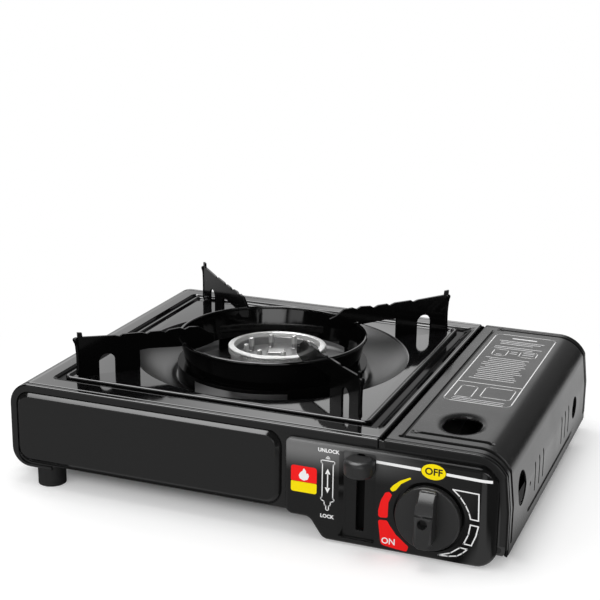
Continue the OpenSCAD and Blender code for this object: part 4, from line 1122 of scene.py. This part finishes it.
# White outlines of the dial's three right segments
SEGMENTS = (
    [(136.7, 48.8), (152.4, 48.4), (152.9, 31.4), (148.1, 31.7), (147.0, 35.6), (144.6, 40.2), (141.2, 44.8)],
    [(148.2, 28.0), (153.0, 27.7), (151.8, 21.4), (149.3, 14.8), (144.6, 15.1), (147.2, 21.4)],
    [(142.5, 12.2), (147.0, 11.9), (144.2, 8.9), (140.9, 6.4), (135.6, 5.2), (129.5, 4.9), (136.8, 7.6)])
# Upright middle of the cartridge sign, and the right half of its outline from the top
SIGN_X = 57.9
SIGN_HALF = [(4.4, 54.0), (4.4, 52.4), (3.5, 51.8), (3.5, 29.6), (4.4, 29.0), (4.2, 27.8), (2.0, 26.8),
             (2.0, 24.6), (0.9, 24.2), (0.9, 21.2)]


def cartridge_sign():
    """Lines of the cartridge sign with its tip and its arrow's shaft."""
    outline = [(SIGN_X + a, b) for a, b in SIGN_HALF] + [(SIGN_X - a, b) for a, b in SIGN_HALF[::-1]]
    tip = [(SIGN_X - 1.3, 55.4), (SIGN_X, 57.0), (SIGN_X + 1.3, 55.4)]
    return stroke(outline, 0.6) + stroke(tip, 0.6) + stroke([(SIGN_X, 36.0), (SIGN_X, 45.4)], 0.7, False)


def flame(cx, cz, k):
    """Corners of a plain flame."""
    shape = [(0, -4.6), (3.0, -3.4), (4.0, -0.8), (3.2, 1.8), (1.9, 0.7), (1.6, 3.0), (-0.2, 5.6),
             (-0.9, 3.0), (-2.6, 1.6), (-4.0, -0.9), (-3.0, -3.4)]
    return [(cx + k * a, cz + k * b, 0.6) for a, b in shape]


# Name, ink and shapes of each mark on the panel
MARKS = (
    ("line_left", "white", [(88.8, 57.6), (116.5, 57.2), (116.5, 59.0), (88.8, 59.4)]),
    ("line_right", "white", [(132.3, 56.7), (160.0, 56.0), (160.0, 57.8), (132.3, 58.5)]),
    ("off_oval", "yellow", ellipse(124.4, 57.8, 7.5, 5.0)),
    ("arc_yellow", "yellow", [(97.8, 42.4, 0.8), (99.3, 40.9, 0.9), (101.5, 42.1, 0.7), (104.8, 46.9),
                              (110.9, 51.0, 0.2), (110.2, 51.9, 0.2), (103.9, 48.7), (99.7, 45.0)]),
    ("arc_red", "red", [(97.6, 40.4, 0.9), (99.3, 38.6, 0.9), (97.2, 33.5), (97.0, 28.6), (97.0, 23.2, 1.6),
                        (90.9, 22.6, 1.8), (90.9, 27.5, 6), (92.3, 34.0, 12), (95.0, 39.6, 1.8)]),
    ("wedge_red", "red", [(90.9, 21.0, 1.4), (96.6, 21.4, 1.2), (98.5, 18.3), (102.6, 13.0),
                          (110.6, 6.6, 1.2), (109.6, 3.1, 1.2), (102.5, 3.6, 6), (93.0, 4.9, 2.6)]),
    ("marks_right", "white", *(quad for segment in SEGMENTS for quad in stroke(segment, 0.75))),
    ("badge", "red", four(33.8, 50.8, 37.4, 47.8, 0.8, 1.8)),
    ("badge_foot", "yellow", four(33.8, 50.8, 30.4, 37.2, 1.5, 0.5)),
    ("cartridge_mark", "white", *cartridge_sign()),
    ("travel_heads", "white", [(56.2, 45.2), (59.6, 45.2), (57.9, 48.8)],
     [(56.2, 36.2), (57.9, 32.6), (59.6, 36.2)]))
# Word, middle, size, ink, height over the panel and boldness
WORDS = (("OFF", 124.5, 57.7, 6.2, "black", 0.08, 0.16), ("ON", 97.8, 7.7, 5.6, "white", 0.08, 0.1),
         ("UNLOCK", 58.2, 60.4, 3.3, "white", 0.02, 0.12), ("LOCK", 57.8, 17.0, 3.3, "white", 0.02, 0.12))


def build_marks():
    """Printed marks of the control panel."""
    for name, ink, *shapes in MARKS:
        print_plate(name, shapes, ink)
    print_plate("badge_flame", [flame(42.3, 42.2, 0.85)], "white", PANEL_FACE - INK)
    for word in WORDS:
        lettering(*word)


def lid_print(name, ink, shapes):
    """A layer of ink on the lid's flat top."""
    bm = bmesh.new()
    for corners in shapes:
        join(bm, prism(corners, "z", TOP - 0.01, TOP - 0.01 + INK))
    printed(name, bm, ink, "lid", "satin_enamel")


def build_lid_marks():
    """Plain outline, tiles and lines printed on the lid."""
    x0, x1 = 104.8, 149
    quads = stroke(rounded_rect(x0, x1, -42.5, 107.5, 4, 6), 0.7)
    quads += stroke([(x0, -4.4), (x1, -4.4)], 0.7, False)
    for tile in ((112, 122, 58, 72), (131, 143, 60, 72), (110, 121, -34, -12), (126, 146, -30, -10)):
        quads += stroke(rounded_rect(*tile, 2, 3), 0.6)
    lid_print("lid_label", "white", quads)
    # Bars: middle, place along the lid, half length and half width
    bars = [(127, 100, 9, 1.0)]
    for y, x0, x1 in [(93, 110, 143), (89.5, 112, 141), (86, 112, 136), (79, 110, 144), (75.5, 110, 138),
                      (69, 124, 129), (65, 124, 129), (69, 133, 141), (65, 133, 141), (61, 115, 119)]:
        bars.append(((x0 + x1) / 2, y, (x1 - x0) / 2, 0.4))
    bars += [(126 + (i % 3 - 1) * 0.8, 52 - i * 3.9, 15.5 - (i * 7 % 4), 0.35) for i in range(13)]
    bars += [(127, y, 17, 0.3) for y in (-36.5, -39.5)]
    lid_print("lid_label_lines", "grey", [four(x - a, x + a, y - b, y + b) for x, y, a, b in bars])


# ---------- stage ----------
FLOOR_LIFT = 0.28
# Strength of the floor before the stove as reflections see it
FLOOR_SEEN = 0.38
# Middle of the overhead panel as reflections see it
PANEL_WAY = (-0.3, -0.12, 0.946)
# Softboxes that only reflections see: way to the middle, cosines of their outer and inner edge, strength
SOFTBOXES = (((-0.25, -0.955, 0.16), 0.94, 0.975, 1.6), ((0.41, -0.90, 0.13), 0.94, 0.965, 3.6),
             ((-0.2, 0.87, 0.45), 0.965, 0.99, 1.25), ((-0.59, 0.80, 0.06), 0.982, 0.992, 0.7))
# Camera: turn, rise and roll in degrees, place and lens
CAMERA_TURNS = (21.73, 16.43, 0.54)
CAMERA_PLACE = (326.0, -865.9, 389.5)
CAMERA_LENS, CAMERA_SHIFT = 84.163, 0.025


def floor_material():
    """Pale floor that turns into the white background round the stove; reflections see it dim in front."""
    look = new_material("studio_floor")
    place, path = look.place(), look.node("LightPath")
    x, y, _ = look.split(place)
    # The camera's lift is left out under the stove and fades in just past its sides, darkening the floor
    # there: painted shade on top of the real shadow.
    open_floor = look.maths("MAXIMUM", look.ramp(look.maths("ABSOLUTE", x, 0.0), 0.155, 0.185),
                            look.ramp(look.maths("ABSOLUTE", y, 0.0), 0.08, 0.106))
    lift = look.times(open_floor, FLOOR_LIFT, path["Is Camera Ray"])
    look.dress(Base_Color=(0.86, 0.86, 0.86, 1), Roughness=0.9, Specular_IOR_Level=0.0,
               Emission_Color=(1, 1, 1, 1), Emission_Strength=lift)
    behind = look.ramp(y, 0.1, 0.3, 0.02, 0.5)
    beside = look.ramp(x, -0.25, -0.5, 0.0, 0.5)
    right = look.times(look.ramp(x, 0.169, 0.184, 0.1, 0.85), look.ramp(y, -0.16, 0.0, 0.1, 1.0))
    in_front = look.ramp(y, -0.12, -0.10, 1.0, 0.0)
    before = look.times(in_front, look.ramp(x, 0.125, 0.14, FLOOR_SEEN, 0.03))
    strip = look.times(look.ramp(x, 0.14, 0.15, 0.0, 0.9), look.ramp(x, 0.165, 0.178, 1.0, 0.0), in_front)
    seen = look.maths("MAXIMUM", behind, beside, right, look.maths("ADD", before, strip))
    far = look.ramp(look.node("VectorMath", {0: place}, operation="LENGTH")["Value"], 0.22, 0.38)
    edge = look.mix(far, look.shader.outputs["BSDF"], look.node("Emission")["Emission"])
    surface = look.mix(path["Is Glossy Ray"], edge, look.node("Emission", {"Strength": seen})["Emission"])
    look.feed(look.nodes["Material Output"], {"Surface": surface})
    return MATERIALS["studio_floor"]


def studio_world(looks):
    """White background, soft daylight, and the pale wall and overhead panel that reflections see."""
    world = bpy.data.worlds.new("studio")
    world.use_nodes = True
    world.cycles.sampling_method = "NONE"
    world.node_tree.nodes.clear()
    look = Recipe(world.node_tree)
    path, way = look.node("LightPath"), look.node("TexCoord")["Generated"]
    x, y, z = look.split(way)

    def toward(middle, low, high, dim, bright):
        near = look.node("VectorMath", {0: way, 1: middle}, operation="DOT_PRODUCT")["Value"]
        return look.ramp(near, low, high, dim, bright)

    def background(strength):
        return look.node("Background", {"Strength": strength})["Background"]

    behind = look.times(look.ramp(y, 0.45, 0.75), look.ramp(z, 0.05, 0.24, 0.04, 1.0))
    across = look.maths("ADD", look.ramp(x, -0.6, -0.2, 0.85, 0.13), look.ramp(x, -0.1, 0.3, 0.2, 0.02))
    wall = look.times(behind, across, looks.wall)
    boxes = [toward(middle, low, high, 0.0, strength) for middle, low, high, strength in SOFTBOXES]
    shine = look.maths("ADD", wall, toward(PANEL_WAY, 0.88, 0.93, 0.02, looks.panel), *boxes)
    lit = look.mix(path["Is Glossy Ray"], background(looks.ambient), background(shine))
    seen = look.maths("MAXIMUM", path["Is Camera Ray"], path["Is Transmission Ray"])
    look.node("OutputWorld", {"Surface": look.mix(seen, lit, background(1.0))})
    return world


def build_stage():
    """Floor, daylight, softboxes and camera."""
    scene = bpy.context.scene
    looks = scene.stove_looks
    scene.view_settings.view_transform = "Standard"
    bm = bmesh.new()
    bmesh.ops.create_grid(bm, x_segments=1, y_segments=1, size=6.0)
    bmesh.ops.translate(bm, verts=bm.verts, vec=(0, 0, -0.0001))
    floor = as_object("floor", bm)
    floor.data.materials.append(floor_material())
    scene.world = studio_world(looks)
    for name, place, size, power, shine in (
            ("overhead", (-0.12, -0.02, 1.3), (0.5, 0.4), looks.overhead, True),
            ("left_box", (-1.1, 0.35, 0.9), (0.4, 0.8), looks.side, True),
            ("front_fill", (-0.3, -2.2, 1.1), (2.4, 1.6), looks.fill, False)):
        lamp = bpy.data.lights.new(name, "AREA")
        lamp.shape, lamp.size, lamp.size_y, lamp.energy = "RECTANGLE", *size, power
        box = bpy.data.objects.new(name, lamp)
        scene.collection.objects.link(box)
        box.location = place
        box.rotation_euler = (Vector((0, 0, 0.05)) - Vector(place)).to_track_quat("-Z", "Y").to_euler()
        box.visible_glossy = shine
    build_camera(scene)


def build_camera(scene):
    """The camera that looks at the stove from its front and right."""
    turn, rise, roll = CAMERA_TURNS
    data = bpy.data.cameras.new("view")
    data.sensor_width, data.lens, data.shift_x = 36.0, CAMERA_LENS, CAMERA_SHIFT
    data.clip_start, data.clip_end = 0.05, 20
    cam = bpy.data.objects.new("view", data)
    scene.collection.objects.link(cam)
    aim = turn_about(turn, "Z") @ turn_about(90 - rise, "X") @ turn_about(roll, "Z")
    cam.matrix_world = Matrix.Translation(Vector(CAMERA_PLACE) * MM) @ aim
    scene.camera = cam


# ---------- add-on ----------
def colour_property(name, description, *default):
    """A colour that a user may change."""
    return bpy.props.FloatVectorProperty(name=name, description=description, default=default, subtype="COLOR",
                                         size=3, min=0, max=1)


def strength_property(name, description, default, most, unit="NONE"):
    """A strength or power that a user may change."""
    return bpy.props.FloatProperty(name=name, description=description, default=default, min=0, max=most,
                                   subtype=unit, unit=unit)


class StoveSizes(bpy.types.PropertyGroup):
    """Sizes that a user would change."""
    sheet: bpy.props.FloatProperty(name="Sheet", description="Thickness of the sheet metal in millimetres",
                                   default=1.0, min=0.5, max=1.2)


class StoveLooks(bpy.types.PropertyGroup):
    """Colours and lamps that a user would change."""
    case_colour: colour_property("Case", "Gloss enamel of case and pan support", 0.004, 0.004, 0.0042)
    lid_colour: colour_property("Lid", "Satin enamel of the lid", 0.009, 0.009, 0.009)
    front_colour: colour_property("Front", "Satin enamel of the front wall", 0.008, 0.008, 0.008)
    panel_colour: colour_property("Panel", "Gloss black of the control panel", 0.006, 0.006, 0.006)
    ambient: strength_property("Daylight", "Strength of the soft light from all round", 0.92, 2)
    wall: strength_property("Wall", "Brightness of the wall behind the stove in reflections", 1.5, 3)
    panel: strength_property("Panel light", "Brightness of the overhead panel in reflections", 10.0, 30)
    overhead: strength_property("Overhead", "Power of the overhead softbox", 3.0, 100, "POWER")
    side: strength_property("Side", "Power of the softbox at the left", 1.5, 100, "POWER")
    fill: strength_property("Fill", "Power of the wide lamp in front", 12.0, 200, "POWER")


def run(*steps):
    """Runs an operator's steps, and says that it is finished."""
    for step in steps:
        step()
    return {"FINISHED"}


class STOVE_OT_finishes(bpy.types.Operator):
    """Makes the finishes and gives them to the frame's parts"""
    bl_idname = "stove.finishes"
    bl_label = "Finishes"

    def execute(self, context):
        return run(make_materials, dress_frame)


class STOVE_OT_case(bpy.types.Operator):
    """Builds the wrapped sheet case"""
    bl_idname = "stove.case"
    bl_label = "Case"

    def execute(self, context):
        return run(build_case)


class STOVE_OT_lid(bpy.types.Operator):
    """Builds the hinged lid and its printed outline"""
    bl_idname = "stove.lid"
    bl_label = "Lid"

    def execute(self, context):
        return run(build_lid, build_lid_marks)


class STOVE_OT_front(bpy.types.Operator):
    """Builds the front wall and the control panel"""
    bl_idname = "stove.front"
    bl_label = "Front"

    def execute(self, context):
        return run(build_front, build_panel, build_marks)


class STOVE_OT_controls(bpy.types.Operator):
    """Builds the knob and the lever's grip"""
    bl_idname = "stove.controls"
    bl_label = "Controls"

    def execute(self, context):
        return run(build_knob, build_lever)


class STOVE_OT_pan_support(bpy.types.Operator):
    """Builds the drip plate, wind ring and pan arms"""
    bl_idname = "stove.pan_support"
    bl_label = "Pan support"

    def execute(self, context):
        return run(build_tray, build_ring, build_arms)


class STOVE_OT_burner(bpy.types.Operator):
    """Builds the burner"""
    bl_idname = "stove.burner"
    bl_label = "Burner"

    def execute(self, context):
        return run(build_burner_ring, build_burner_insert, build_burner_bowl)


class STOVE_OT_underside(bpy.types.Operator):
    """Builds the back wall, the floor, the feet and the screws"""
    bl_idname = "stove.underside"
    bl_label = "Back and underside"

    def execute(self, context):
        return run(build_underside)


class STOVE_OT_stage(bpy.types.Operator):
    """Builds floor, lamps and camera"""
    bl_idname = "stove.stage"
    bl_label = "Stage"

    def execute(self, context):
        return run(build_stage)


OPERATORS = (STOVE_OT_finishes, STOVE_OT_case, STOVE_OT_lid, STOVE_OT_front, STOVE_OT_controls,
             STOVE_OT_pan_support, STOVE_OT_burner, STOVE_OT_underside, STOVE_OT_stage)


class STOVE_PT_panel(bpy.types.Panel):
    """Lists the stove's builders"""
    bl_label = "Cassette stove"
    bl_idname = "STOVE_PT_panel"
    bl_space_type = "VIEW_3D"
    bl_region_type = "UI"
    bl_category = "Stove"

    def draw(self, context):
        for group in (context.scene.stove_sizes, context.scene.stove_looks):
            for name in group.__annotations__:
                self.layout.prop(group, name)
        for operator in OPERATORS:
            self.layout.operator(operator.bl_idname)


CLASSES = (StoveSizes, StoveLooks, *OPERATORS, STOVE_PT_panel)


def register():
    for cls in CLASSES:
        bpy.utils.register_class(cls)
    bpy.types.Scene.stove_sizes = bpy.props.PointerProperty(type=StoveSizes)
    bpy.types.Scene.stove_looks = bpy.props.PointerProperty(type=StoveLooks)


def unregister():
    del bpy.types.Scene.stove_looks
    del bpy.types.Scene.stove_sizes
    for cls in reversed(CLASSES):
        bpy.utils.unregister_class(cls)


def main():
    register()
    bpy.ops.stove.finishes()
    bpy.ops.stove.case()
    bpy.ops.stove.lid()
    bpy.ops.stove.front()
    bpy.ops.stove.controls()
    bpy.ops.stove.pan_support()
    bpy.ops.stove.burner()
    bpy.ops.stove.underside()
    bpy.ops.stove.stage()


if __name__ == "__main__":
    main()
